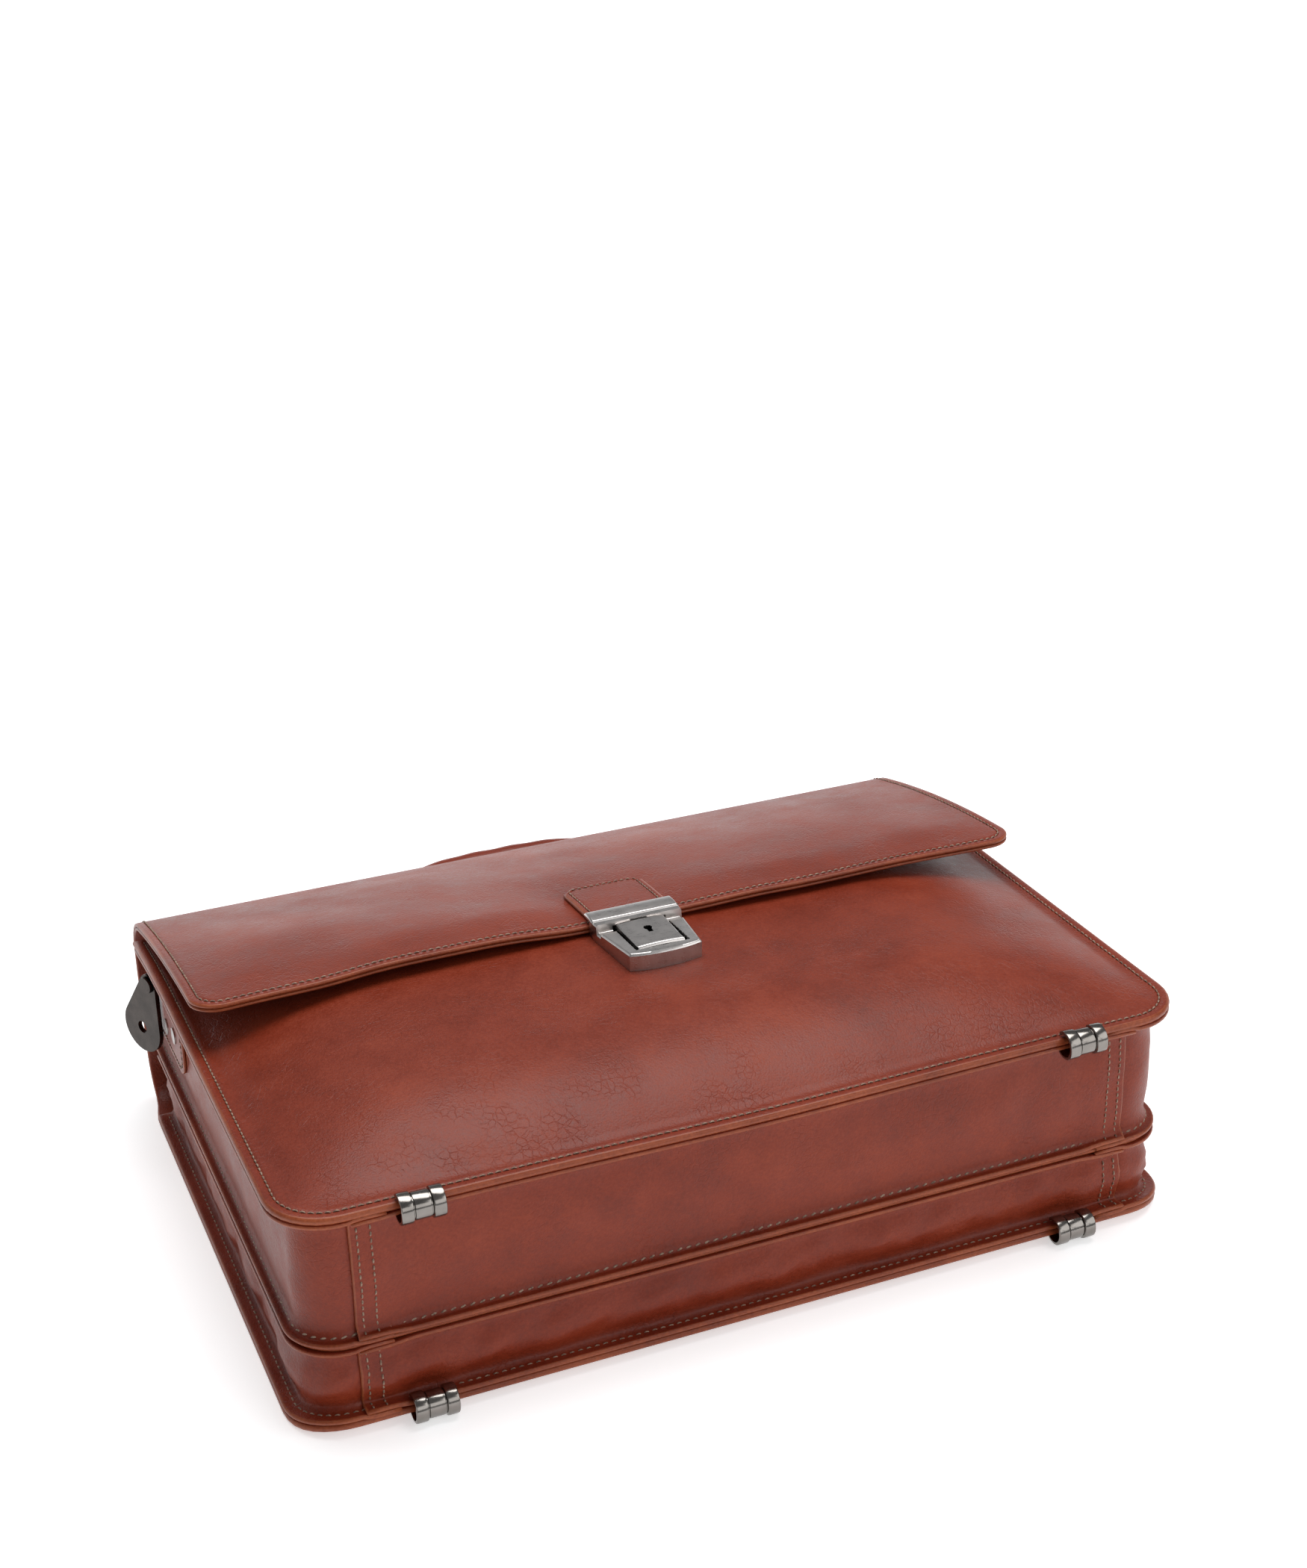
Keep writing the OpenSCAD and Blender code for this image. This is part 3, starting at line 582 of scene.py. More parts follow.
make("front_lining_cloth", v, f, [LINING], "lining", "root", None, ["front_lining"])


# ---- Gussets: one channel each, swept round three sides of the bag ----

STRAIGHT = HALF_W - CORNER_R
ARC = CORNER_R * pi / 2


def round_path(u, inset):
    """Place at distance u along the seam from the middle of the bottom, drawn in by inset."""
    u, inset = floats(u, inset)
    side = np.sign(u)
    a = np.clip(np.abs(u) - STRAIGHT, 0, None)
    angle = np.minimum(a / CORNER_R, pi / 2)
    rest = np.clip(a - ARC, 0, None)
    nx, ny = side * np.sin(angle), -np.cos(angle)
    x = np.where(a > 0, side * (STRAIGHT + CORNER_R * np.sin(angle)), u)
    y = np.where(a > 0, CORNER_R * (1 - np.cos(angle)) + rest, 0.0)
    return x - nx * inset, y - ny * inset


def channel(low_in, low_z, high_in, high_z, bulge, seed, crumple):
    """Surface over (u, p): along the seam, and across from the low lip over the wall to the high lip."""
    r = 2.6  # where the wall turns out into its lips
    pts = [(low_in - 3, 0.0, 0), (low_in, 0.0, 0)]
    for k in range(9):
        a = pi / 2 * k / 8
        pts.append((SEAM_IN - r + r * sin(a), r * (1 - cos(a)), 0))
    for k in range(1, 30):
        pts.append((SEAM_IN - bulge * sin(pi * k / 30) ** 1.2, k / 30, 1))
    for k in range(9):
        a = pi / 2 * k / 8
        pts.append((SEAM_IN - r + r * cos(a), -r * (1 - sin(a)), 2))
    pts += [(high_in, 0.0, 2), (high_in - 3, 0.0, 2)]
    tall = 30.0  # nominal height, scaled to the seams below
    nominal = []
    for i, z, kind in pts:
        nominal.append((i, z if kind == 0 else r + z * (tall - 2 * r) if kind == 1 else tall + z))
    nominal = np.array(nominal)
    dist = run_along(nominal) - 3.0
    share = nominal[:, 1] / tall

    def surface(u, p):
        u, p = floats(u, p)
        i = np.interp(p, dist, nominal[:, 0])
        f = np.interp(p, dist, share)
        x, y = round_path(u, i)
        z0, z1 = low_z(x, y), high_z(x, y)
        wall = np.sin(pi * np.clip(f, 0, 1))
        push = crumple * wall * ripple(u, f * 60, 46, seed)
        push = push + 0.5 * crumple * wall * ripple(u, f * 60, 17, seed + 1)
        x, y = round_path(u, i - push)
        return np.stack([x, y, z0 + (z1 - z0) * f], axis=-1)

    return surface, dist[-1] - 3.0


def lifted(y, z):
    """z, raised near the bottom seam, where the rear clips hold it off the floor."""
    return z + LIFT * (1 - np.clip(np.asarray(y, float) / LIFT_Y, 0, 1)) ** 1.5


def front_flange_z(x, y):
    return seam_z(y) - dip(x, y) - PANEL_T + SKIM - WALL_T


FRONT_CHANNEL = channel(MID_IN, lambda x, y: DIVIDER_TOP + WALL_T + 0 * x, 0.0, front_flange_z, 1.4, 21, 0.4)
REAR_CHANNEL = channel(0.0, lambda x, y: lifted(y, PANEL_T + WALL_T), MID_IN,
                       lambda x, y: MID_Z - WALL_T + 0 * x, 2.4, 33, 1.0)
LAP = 172.0  # the bottom piece ends here, over the side piece
SPAN = {"front": STRAIGHT + ARC + MOUTH_Y - CORNER_R, "rear": STRAIGHT + ARC + REAR_MOUTH_Y - CORNER_R}
GUSSET_LOOK = {"border": 3.4, "edge": 0.8, "step": 3.2}


def gusset(which, channel_surface, mouth_u):
    """The bottom piece lapped over two side pieces; returns the stitch rows of the laps."""
    surface, across = channel_surface
    seams = []
    tuck = LAP - 14

    def overlap(u, p):
        rise = 1.1 * smooth((np.abs(u) - (LAP - 24)) / 14)
        points, normals = lay(surface, np.stack([np.ravel(u), np.ravel(p)], axis=-1), 0.0)
        return points + normals * np.ravel(rise)[:, None]

    v, f, m = sheet(overlap, (2 * LAP, across), WALL_T, **GUSSET_LOOK)
    make(which + "_gusset_bottom_leather", v, f, LEATHERS, "leather", "root", m, [which + "_gusset_bottom"])
    for name, side in (("left", -1), ("right", 1)):
        middle, length = side * (tuck + mouth_u) / 2, mouth_u - tuck

        def side_surface(x, y, middle=middle):
            u = np.ravel(np.asarray(x, float) + middle)
            sunk = -0.9 * (1 - smooth((np.abs(u) - (LAP - 3)) / 5))
            points, normals = lay(surface, np.stack([u, np.ravel(y)], axis=-1), 0.0)
            return points + normals * sunk[:, None]

        v, f, m = sheet(side_surface, (length, across), WALL_T, **GUSSET_LOOK)
        node = f"{which}_gusset_{name}"
        make(node + "_leather", v, f, LEATHERS, "leather", "root", m, [node])
        for row in (3.2, 8.6):
            u = side * (LAP - row)
            p = np.arange(0.8, across - 0.8, 0.5)
            path = np.stack([np.full(len(p), u), p], axis=-1)
            seams.append(stitches(overlap, path, pitch=2.9, length=2.2, width=0.75))
    return seams


front_seams = gusset("front", FRONT_CHANNEL, SPAN["front"])
rear_seams = gusset("rear", REAR_CHANNEL, SPAN["rear"])


def lip_row(which, across):
    """Path along a gusset's low lip, from mouth to mouth."""
    u = np.arange(-SPAN[which] + 3, SPAN[which] - 3, 1.0)
    return np.stack([u, np.full(len(u), across)], axis=-1)


front_seams.append(stitches(FRONT_CHANNEL[0], lip_row("front", 3.9), pitch=4.0, length=2.9, width=0.95,
                            slant=0.25))
rear_seams.append(stitches(REAR_CHANNEL[0], lip_row("rear", STITCH_IN), pitch=3.6))
sewn("front_gusset_stitches", front_seams)
sewn("rear_gusset_stitches", rear_seams)


def divider_surface(x, y):
    x, y = floats(x, y)
    inner = smooth((HALF_W - 12 - np.abs(x)) / 40) * smooth((y - 12) / 40)
    return np.stack([x, y + MID_IN + 1.2, DIVIDER_TOP + 0.25 * ripple(x, y, 90, 8) * inner], axis=-1)


DIVIDER_SIZE = (2 * (HALF_W - MID_IN - 1.2), cad("divider_panel")[1][1] - MID_IN - 1.2)
v, f, m = sheet(divider_surface, DIVIDER_SIZE, DIVIDER_TOP - MID_Z, low=CORNER_R - MID_IN, border=9, edge=0.8,
                step=9)
make("divider_leather", v, f, INNERS, "inner_leather", "root", m, ["divider_panel"])


# ---- Back panel, rear fold and the lower half of the top strip: one leather, bending over the rear fold ----

back_profile = [(0.0, LIFT), (6, LIFT * 0.55), (13, LIFT * 0.18), (LIFT_Y, 0.0)]
back_profile += [(y, 0.0) for y in np.linspace(LIFT_Y + 4, BACK_C[0] - 1, 40)]
back_profile += arc_points(BACK_C, BACK_R, -90, 0)
back_profile += [(TOP_Y, z) for z in np.linspace(BACK_R + 1, STRIP_MID, 14)]


def narrow(t):
    """The leather's width at distance t, as a share: the panel's, then the flap's beyond the rear fold."""
    return 1 - (1 - FLAP_HALF / HALF_W) * smooth((np.asarray(t) - 258) / 20)


back_surface, back_length = profile_surface(back_profile, mirrored=True, width_at=narrow)
REAR_BEND = ("root", "flap_top", in_frame(BACK_C[0], 0.0), in_frame(TOP_Y, BACK_R))
BACK_SIZE = (2 * HALF_W, back_length)
v, f, m = sheet(back_surface, BACK_SIZE, PANEL_T - SKIM, **PANEL_LOOK)
make("back_leather", v, f, LEATHERS, "leather", REAR_BEND, m, ["back_panel"])
rows = [stitches(back_surface, outline(BACK_SIZE, STITCH_IN, low=CORNER_R, sides="lbrt"), lift=SUNK)]
sewn("back_stitches", rows, REAR_BEND)
v, f, _ = sheet(lambda x, y: back_surface(x, y + LINING_IN),
                (2 * (HALF_W - LINING_IN), back_length - LINING_IN - 3), LINING_T, **LINING_LOOK)
make("back_lining_cloth", v, f, [LINING], "lining", REAR_BEND, None, ["back_lining", "top_stiffener"])


# ---- Upper half of the top strip, front fold and flap: one leather, bending over the front fold ----

flap_start = 90 - FLAP_SLOPE
FLAP_C = (FOLD_C[0] - (FLAP_R - FOLD_R) * cos(radians(flap_start)),
          FOLD_C[1] - (FLAP_R - FOLD_R) * sin(radians(flap_start)))
fold_exit = (FOLD_C[0] + FOLD_R * cos(radians(flap_start)),
             FOLD_C[1] + FOLD_R * sin(radians(flap_start)))
flap_end = math.degrees(math.acos((FLAP_Y - FLAP_C[0]) / FLAP_R))
flap_run = FLAP_R * radians(flap_end - flap_start)
flap_profile = arc_points(FLAP_C, FLAP_R, flap_end, flap_start)[:-1]
flap_profile += arc_points(FOLD_C, FOLD_R, flap_start, 0)
flap_profile += [(TOP_Y, z) for z in np.linspace(FOLD_C[1] - 1, STRIP_MID, 14)]
straight_flap, flap_length = profile_surface(flap_profile)


def flap_surface(x, t):
    """The flap, with a shallow crown, soft waves and its free corners a little lower than its middle."""
    x, t = floats(x, t)
    p = straight_flap(x, t)
    inner = smooth((FLAP_HALF - np.abs(x)) / 45) * smooth(t / 30) * smooth((flap_run - t) / 30)
    near_lock = np.exp(-(x / 27.0) ** 4 - (t / 44.0) ** 4)
    edge = 2.7 * np.exp(-((x + 86) / 46.0) ** 4) + 0.8 * np.exp(-((x - 132) / 32.0) ** 2)
    edge += 0.6 * np.exp(-((x - 60) / 20.0) ** 2) - 0.9 * np.exp(-((x + 194) / 22.0) ** 2)
    edge *= np.exp(-(t / 85.0) ** 2) * smooth((flap_run - t) / 40)
    p[..., 2] += ((1.3 + 0.45 * ripple(x, t, 85, 12)) * inner + edge) * (1 - near_lock)
    return p


FRONT_BEND = ("flap_top", "flap_front", in_frame(TOP_Y, FOLD_C[1]), in_frame(*fold_exit))
FLAP_SIZE = (2 * FLAP_HALF, flap_length)
FLAP_CORNER = 14.0
FLAP_STITCH_IN = STITCH_IN - 0.4
OUTER_T, GROOVE_T = 1.9, 0.15  # outer leather, and the line between it and the backing
v, f, m = sheet(flap_surface, FLAP_SIZE, OUTER_T, low=FLAP_CORNER, border=9, edge=0.85,
                groove=FLAP_STITCH_IN, step=5)
make("flap_leather", v, f, LEATHERS, "leather", FRONT_BEND, m, ["top_strip", "flap_panel"])
v, f, m = sheet(flap_surface, FLAP_SIZE, PANEL_T - OUTER_T - GROOVE_T, low=FLAP_CORNER, border=9, edge=0.7,
                step=5, lift=-OUTER_T - GROOVE_T)
make("flap_backing_leather", v, f, LEATHERS, "leather", FRONT_BEND, m)
rows = [stitches(flap_surface, outline(FLAP_SIZE, FLAP_STITCH_IN, low=FLAP_CORNER, sides="lbrt"), lift=SUNK)]
sewn("flap_stitches", rows, FRONT_BEND)
v, f, _ = sheet(lambda x, y: flap_surface(x, y + 9), (2 * FLAP_HALF - 18, flap_length - 12), 0.4, low=5,
                border=4, edge=0.2, lift=-PANEL_T - 0.05, step=9)
make("flap_lining_cloth", v, f, [LINING], "lining", FRONT_BEND, None, ["flap_lining", "top_lining"])


# ---- Lock tab ----

TAB_LO, TAB_HI = cad("lock_tab")
TAB_FROM, TAB_TO = 3.0, 41.5  # distances up the flap from its edge
TAB_T, TAB_CORNER, TAB_STITCH_IN = 2.7, 6.5, 3.0
TAB_SIZE = (TAB_HI[0] - TAB_LO[0], TAB_TO - TAB_FROM)


def tab_surface(x, y):
    """On the flap, read from the tab's far end back towards the lock."""
    return straight_flap(-np.asarray(x, float), TAB_TO - np.asarray(y, float))


v, f, m = sheet(tab_surface, TAB_SIZE, TAB_T, low=TAB_CORNER, border=4.4, edge=1.2,
                groove=TAB_STITCH_IN, step=3, lift=TAB_T + 0.05, turns=1, skip=("top",))
make("lock_tab_leather", v, f, LEATHERS, "leather", "flap_front", m, ["lock_tab"])
rows = [stitches(tab_surface, outline(TAB_SIZE, TAB_STITCH_IN, low=TAB_CORNER, sides="lbr"), pitch=2.9,
                 length=2.2, width=0.7, lift=TAB_T - 0.05)]
sewn("lock_tab_stitches", rows, "flap_front")


# ---- CAD nodes that stay: metal and fittings ----

def finish_node(name, material, width=0.25, segments=2):
    """Gives a CAD node its material and softens its edges by width millimetres."""
    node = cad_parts[name]
    node.data.materials.clear()
    node.data.materials.append(material)
    node.data.polygons.foreach_set("use_smooth", np.ones(len(node.data.polygons), bool))
    soften = node.modifiers.new("edges", "BEVEL")
    soften.width = width * MM
    soften.segments = segments
    soften.limit_method = "ANGLE"
    soften.angle_limit = radians(35)
    soften.harden_normals = True


def clip(name):
    """Sleeve closed round the seam: two polished bands with a narrower one between, open towards the bag."""
    lo, hi = cad(name)
    cx, cz, half = (lo[0] + hi[0]) / 2, (lo[2] + hi[2]) / 2, (hi[0] - lo[0]) / 2 - 0.5
    big_r = (hi[2] - lo[2]) / 2 - 0.25
    small_r = big_r - 0.75
    cy = lo[1] + (hi[2] - lo[2]) / 2
    rows = [(-half, big_r - 1.3), (-half, big_r - 0.5), (-half + 0.3, big_r - 0.1), (-half + 0.8, big_r),
            (-half + 4.4, big_r), (-half + 4.9, big_r - 0.12), (-half + 5.15, big_r - 0.5),
            (-half + 5.3, small_r - 0.5), (-half + 5.6, small_r - 0.5), (-half + 5.8, small_r - 0.1),
            (-half + 6.3, small_r)]
    rows += [(-x, r) for x, r in reversed(rows)]
    rows += [(half, big_r - 1.3), (-half, big_r - 1.3)]
    gape = radians(47)
    angles = np.linspace(gape, 2 * pi - gape, 61)
    verts = [(cx + x, cy + r * cos(a), cz + r * sin(a)) for a in angles for x, r in rows]
    n = len(rows)
    faces = []
    for k in range(len(angles) - 1):
        faces += quads(list(range((k + 1) * n, (k + 2) * n)), list(range(k * n, (k + 1) * n)))
    faces += [list(range(n)), list(reversed(range((len(angles) - 1) * n, len(angles) * n)))]
    sharp(make(name + "_metal", verts, faces, [GUNMETAL], "gunmetal", "root", None, [name]), 40)


def sharp(piece, angle=32):
    """Keeps the creases of a metal piece."""
    piece.data.set_sharp_from_angle(angle=radians(angle))


for side in ("left", "right"):
    for row in ("front", "rear"):
        clip(f"clip_{row}_{side}")
    # The strap lugs and their studs take near-black metal: a painted dark reflection on their faces.
    finish_node("strap_lug_" + side, PAINTED_SHADE_METAL, 0.5, 3)
    finish_node("lug_stud_" + side, PAINTED_SHADE_METAL)
    for part in ("chape_rivets_", "handle_bracket_", "handle_eye_"):
        finish_node(part + side, SATIN)
    finish_node("handle_pin_" + side, GUNMETAL)
for name in ("lock_base_plate", "lock_screws", "handle_rivets", "zip_slider", "zip_puller"):
    finish_node(name, SATIN)
for name in ("latch_bolt", "key_cylinder", "lock_tongue"):
    finish_node(name, GUNMETAL, 0.1)


# ---- Lock: cast body, push plate and the clamp on the flap ----

def block(place, height, floor_z, nu, nv, dark=None):
    """A solid whose top is height(x, y) over the places place(u, v), with walls down to floor_z(x, y).

    Top faces for which dark(x, y, z) holds take the second material, used to paint shade into recesses and
    holes.
    """
    u, v = np.meshgrid(np.linspace(-1, 1, nu), np.linspace(0, 1, nv))
    x, y = place(u, v)
    top = np.stack([x, y, height(x, y)], axis=-1).reshape(-1, 3)
    bottom = np.stack([x, y, floor_z(x, y)], axis=-1).reshape(-1, 3)
    n = nu * nv
    ring = list(range(nu)) + [i * nu + nu - 1 for i in range(1, nv)]
    ring += [(nv - 1) * nu + j for j in range(nu - 2, -1, -1)] + [i * nu for i in range(nv - 2, 0, -1)]
    faces = []
    for i in range(nv - 1):
        for j in range(nu - 1):
            a = i * nu + j
            faces.append([a, a + 1, a + nu + 1, a + nu])
            faces.append([n + a + nu, n + a + nu + 1, n + a + 1, n + a])
    faces += quads(ring, [n + i for i in ring])
    verts = np.concatenate([top, bottom])
    index = [int(dark is not None and max(face) < n and bool(dark(*verts[face].mean(axis=0)))) for face in faces]
    return verts, faces, index


def step_up(t, wide):
    """0 to 1 across t = 0, over a width."""
    return smooth(t / wide + 0.5)


LOCK_TOP = LOCK_HI[2]
LOCK_HALF, LOCK_LOW_HALF = LOCK_HI[0], 16.6  # half its width at the upper and the lower end
LOCK_SAG = 2.2  # its lower corners stand this much higher than its middle
BAR_Y = 133.7  # the bar under the flap's clamp starts here
VALLEY_Y = (129.6, 133.6)  # the lower step before the bar
RECESS_HALF, RECESS_TOP, RECESS_Z = 12.4, 133.5, LOCK_LO[2] + 3.9
PLATE_LO, PLATE_HI = cad("press_plate")


def lock_half(y):
    share = np.clip((y - LOCK_LO[1]) / (LOCK_HI[1] - LOCK_LO[1]), 0, 1)
    return LOCK_LOW_HALF + (LOCK_HALF - LOCK_LOW_HALF) * share


def lock_place(u, v):
    y = LOCK_LO[1] + (LOCK_HI[1] - LOCK_LO[1]) * v
    y = y + (1 - v) ** 2 * LOCK_SAG * np.abs(u) ** 2.4
    return u * lock_half(y), y


def lock_height(x, y):
    half = lock_half(y)
    low_edge = LOCK_LO[1] + LOCK_SAG * np.abs(x / half) ** 2.4
    edge = np.minimum(half - np.abs(x), np.minimum(y - low_edge, 1.4 * (LOCK_HI[1] - y)))
    arm = LOCK_TOP - 0.3 - 2.0 * np.clip((y - 104) / 26, 0, 1)
    bar = step_up(y - BAR_Y, 0.6)
    z = arm + (LOCK_TOP - arm) * bar
    valley = step_up(y - VALLEY_Y[0], 0.7) * (1 - step_up(y - VALLEY_Y[1], 0.6))
    z = z - 1.5 * valley
    inside = step_up(RECESS_HALF - np.abs(x), 0.5) * step_up(y - (PLATE_LO[1] - 1.0), 0.5)
    inside = inside * (1 - step_up(y - RECESS_TOP, 0.4))
    z = z + (RECESS_Z - z) * inside
    return z - 1.0 * (1 - np.clip(edge / 0.9, 0, 1)) ** 1.3


def plate_height(x, y):
    edge = np.minimum(PLATE_HI[0] - 0.2 - np.abs(x), np.minimum(y - PLATE_LO[1], PLATE_HI[1] - y))
    z = PLATE_HI[2] - 0.35 + 0.55 * np.exp(-((y - PLATE_LO[1] - 1.1) / 0.7) ** 2) - 0.004 * x ** 2
    r = np.hypot(x, y - (PLATE_LO[1] + 16.2))
    along = step_up(y - (PLATE_LO[1] + 12.2), 0.3) * step_up(PLATE_LO[1] + 16.5 - y, 0.3)
    slot = np.minimum(step_up(0.85 - np.abs(x), 0.3), along)
    hole = np.maximum(step_up(1.75 - r, 0.3), slot)
    return z - 2.3 * hole - 0.6 * (1 - np.clip(edge / 0.6, 0, 1)) ** 1.3


def clamp_height(x, y):
    edge = np.minimum(CAP_HI[0] - np.abs(x), np.minimum(y - CAP_LO[1], CAP_HI[1] - y))
    across_it = (y - CAP_LO[1]) / (CAP_HI[1] - CAP_LO[1])
    return CAP_HI[2] - 0.5 + 0.5 * np.sin(pi * across_it) - 0.9 * (1 - np.clip(edge / 0.8, 0, 1)) ** 1.3


# Faces low in the recess around the push plate take the near-black metal: painted shade.
v, f, m = block(lock_place, lock_height, lambda x, y: LOCK_LO[2] + 0 * x, 150, 135,
                lambda x, y, z: abs(x) < RECESS_HALF + 0.2 and y < VALLEY_Y[1] and z < LOCK_TOP - 2.6)
sharp(make("lock_body_metal", v, f, [SATIN, PAINTED_SHADE_METAL], "satin_metal", "root", m, ["lock_body"]))
# Faces sunk in the keyhole take the near-black metal: painted shade.
v, f, m = block(lambda u, v: (u * (PLATE_HI[0] - 0.2 - 0.5 * (1 - v)),
                              PLATE_LO[1] + (PLATE_HI[1] - PLATE_LO[1]) * v),
                plate_height, lambda x, y: PLATE_LO[2] + 0 * x, 110, 120,
                lambda x, y, z: z < PLATE_HI[2] - 0.5 and abs(x) < 4 and y > PLATE_LO[1] + 8)
sharp(make("push_plate_metal", v, f, [SATIN, KEYWAY_PAINTED_SHADE], "satin_metal", "lock_press", m, ["press_plate"]))
v, f, _ = block(lambda u, v: (u * CAP_HI[0], CAP_LO[1] + (CAP_HI[1] - CAP_LO[1]) * v), clamp_height,
                lambda x, y: np.where(y < CAP_LO[1] + 3.2, CAP_LO[2] + 2.4 * (np.abs(x) < 7),
                                      CAP_HI[2] - 1.95), 140, 46)
sharp(make("lock_clamp_metal", v, f, [SATIN], "satin_metal", "flap_front", None, ["lock_cap"]))


# ---- Strap lug tabs: two layers of leather on the side gussets ----

LUG_STITCH_IN, LUG_CORNER = 3.0, 11.4


def chape(side, sign):
    """One lug tab: a stitched upper layer on a slightly larger lower one."""
    lo, hi = cad("lug_chape_" + side)
    face = hi[0] if sign > 0 else -lo[0]
    wide, long, z = hi[2] - lo[2], hi[1] - lo[1], (lo[2] + hi[2]) / 2

    def surface(x, y):
        x, y = floats(x, y)
        return np.stack([sign * (face + 0 * x), lo[1] + y, z - sign * x], axis=-1)

    layers, index = [], []
    for lift, grow in ((0.0, 0.0), (-1.5, 0.6)):
        v, f, m = sheet(lambda x, y, g=grow: surface(x, y - g), (wide + 2 * grow - 1.2, long + grow), 1.42,
                        low=LUG_CORNER, border=6, edge=0.55, groove=LUG_STITCH_IN if grow == 0 else None,
                        lift=lift, step=3, skip=("top",))
        layers.append((v, f))
        index += m
    make(f"lug_tab_{side}_leather", *joined(layers), LEATHERS, "leather", "root", index,
         ["lug_chape_" + side])
    row = outline((wide - 1.2, long), LUG_STITCH_IN, low=LUG_CORNER, sides="lbr")
    row = stitches(surface, row, pitch=2.9, length=2.1, width=0.7, lift=SUNK)
    sewn(f"lug_tab_{side}_stitches", [row])


chape("left", -1)
chape("right", 1)


# ---- Handle grip: leather sewn round a padded core, its seam along the inside ----

GRIP_LEAN = radians(26.0)
PIN_Y, PIN_Z = TOP_Y + 6.5, STRIP_MID


def grip_path(t):
    """Side view of the grip's middle line, a squared arch: across the bag, and out from the pins."""
    a = pi * t
    c, q = cos(a), sin(a)
    return np.array([56.0 * math.copysign(abs(c) ** 0.62, c), 11.0 + 25.5 * max(q, 0.0) ** 0.62])


def handle_point(x, out, through):
    y = PIN_Y + out * cos(GRIP_LEAN) - through * sin(GRIP_LEAN)
    return [x, y, PIN_Z + out * sin(GRIP_LEAN) + through * cos(GRIP_LEAN)]


def girth_point(c, n, r, a):
    """Point at angle a on a ring of radius r round the middle line's point c, whose normal is n."""
    return handle_point(c[0] + n[0] * r * cos(a), c[1] + n[1] * r * cos(a), r * sin(a))


def grip():
    """The grip's mesh, thinner at its ends, and the path of the stitches beside its seam."""
    fine = np.array([grip_path(t) for t in np.linspace(0, 1, 1201)])
    travel = run_along(fine)
    total = travel[-1]

    def at(d):
        return np.array([np.interp(d, travel, fine[:, k]) for k in (0, 1)])

    sides, steps = 32, 110
    verts, faces, seam = [], [], []
    stations = [0.0, 0.5, 1.2, 2.2] + list(np.linspace(3.5, total - 3.5, steps))
    stations += [total - 2.2, total - 1.2, total - 0.5, total]
    for d in stations:
        c = at(d)
        h = at(min(d + 2.0, total)) - at(max(d - 2.0, 0.0))
        h /= np.linalg.norm(h)
        n = np.array([h[1], -h[0]])
        end = min(d, total - d)
        r = 6.35 * (0.72 + 0.28 * float(smooth(end / 26))) * (0.8 + 0.2 * math.sqrt(min(1.0, end / 2.2)))
        r += 0.16 * sin(d / 3.1) * float(smooth((1 - abs(2 * d / total - 1)) * 2 - 0.6))
        for k in range(sides):
            a = 2 * pi * k / sides
            ridge = 0.75 * math.exp(-((pi - a) / 0.16) ** 2)
            verts.append(girth_point(c, n, r + ridge, a))
        if end > 5:
            seam.append(girth_point(c, n, r, pi - 0.42))
    rows = [list(range(i * sides, (i + 1) * sides)) for i in range(len(stations))]
    for i in range(len(rows) - 1):
        faces += quads(rows[i + 1], rows[i])
    faces += [rows[0], list(reversed(rows[-1]))]
    return verts, faces, np.array(seam)


v, f, seam = grip()
padding = make("handle_grip_leather", v, f, [LEATHER], "leather", "handle", None, ["handle_grip"])
seam_run = run_along(seam)


def along_seam(x, y):
    d = np.ravel(np.asarray(y, float))
    p = np.stack([np.interp(d, seam_run, seam[:, k]) for k in range(3)], axis=-1)
    sideways = np.array([0.0, -sin(GRIP_LEAN), cos(GRIP_LEAN)])
    return p + np.ravel(np.asarray(x, float))[:, None] * sideways


d = np.arange(0.0, seam_run[-1], 0.8)
row = stitches(along_seam, np.stack([0 * d, d], axis=-1), pitch=3.4, proud=0.4)
sewn("handle_grip_stitches", [row], "handle")


# ---- Inside: slip pocket and pen loops on the divider, zip pocket on the back wall ----

lo, hi = cad("slip_pocket")


def pocket_surface(x, y, lo=lo, hi=hi):
    x, y = floats(x, y)
    side = smooth(((hi[0] - lo[0]) / 2 - np.abs(x)) / 22)
    swell = side * smooth(y / 30) * (0.75 + 0.25 * smooth(y / 130))
    z = DIVIDER_TOP + 1.7 + (hi[2] - DIVIDER_TOP - 1.9) * swell
    return np.stack([x + (lo[0] + hi[0]) / 2, lo[1] + y, z], axis=-1)


size = (hi[0] - lo[0], hi[1] - lo[1])
POCKET_STITCH_IN = 3.6
v, f, m = sheet(pocket_surface, size, 1.4, low=9, border=7, edge=0.6, groove=POCKET_STITCH_IN, step=4,
                skip=("top",))
make("slip_pocket_leather", v, f, INNERS, "inner_leather", "root", m, ["slip_pocket"])
rows = [stitches(pocket_surface, outline(size, POCKET_STITCH_IN, low=9, sides="lbr"), lift=SUNK)]

lo, hi = cad("pen_loops")
PEN_PITCH = 22.0
loop_path = [(lo[0] - 5.0, DIVIDER_TOP + 1.4)]
for k in range(3):
    centre = 80.0 + PEN_PITCH * k
    loop_path.append((centre - 9.5, DIVIDER_TOP + 1.5))
    loop_path += [(centre - 8.0 * cos(a), DIVIDER_TOP + 6.5 + 9.4 * sin(a))
                  for a in np.linspace(-0.45, pi + 0.45, 22)]
    loop_path.append((centre + 9.5, DIVIDER_TOP + 1.5))
loop_path.append((hi[0] + 5.0, DIVIDER_TOP + 1.4))
loop_path = np.array(loop_path)
loop_path[:, 1] = np.clip(loop_path[:, 1], DIVIDER_TOP + 1.4, hi[2] - 0.1)
loop_run = run_along(loop_path)


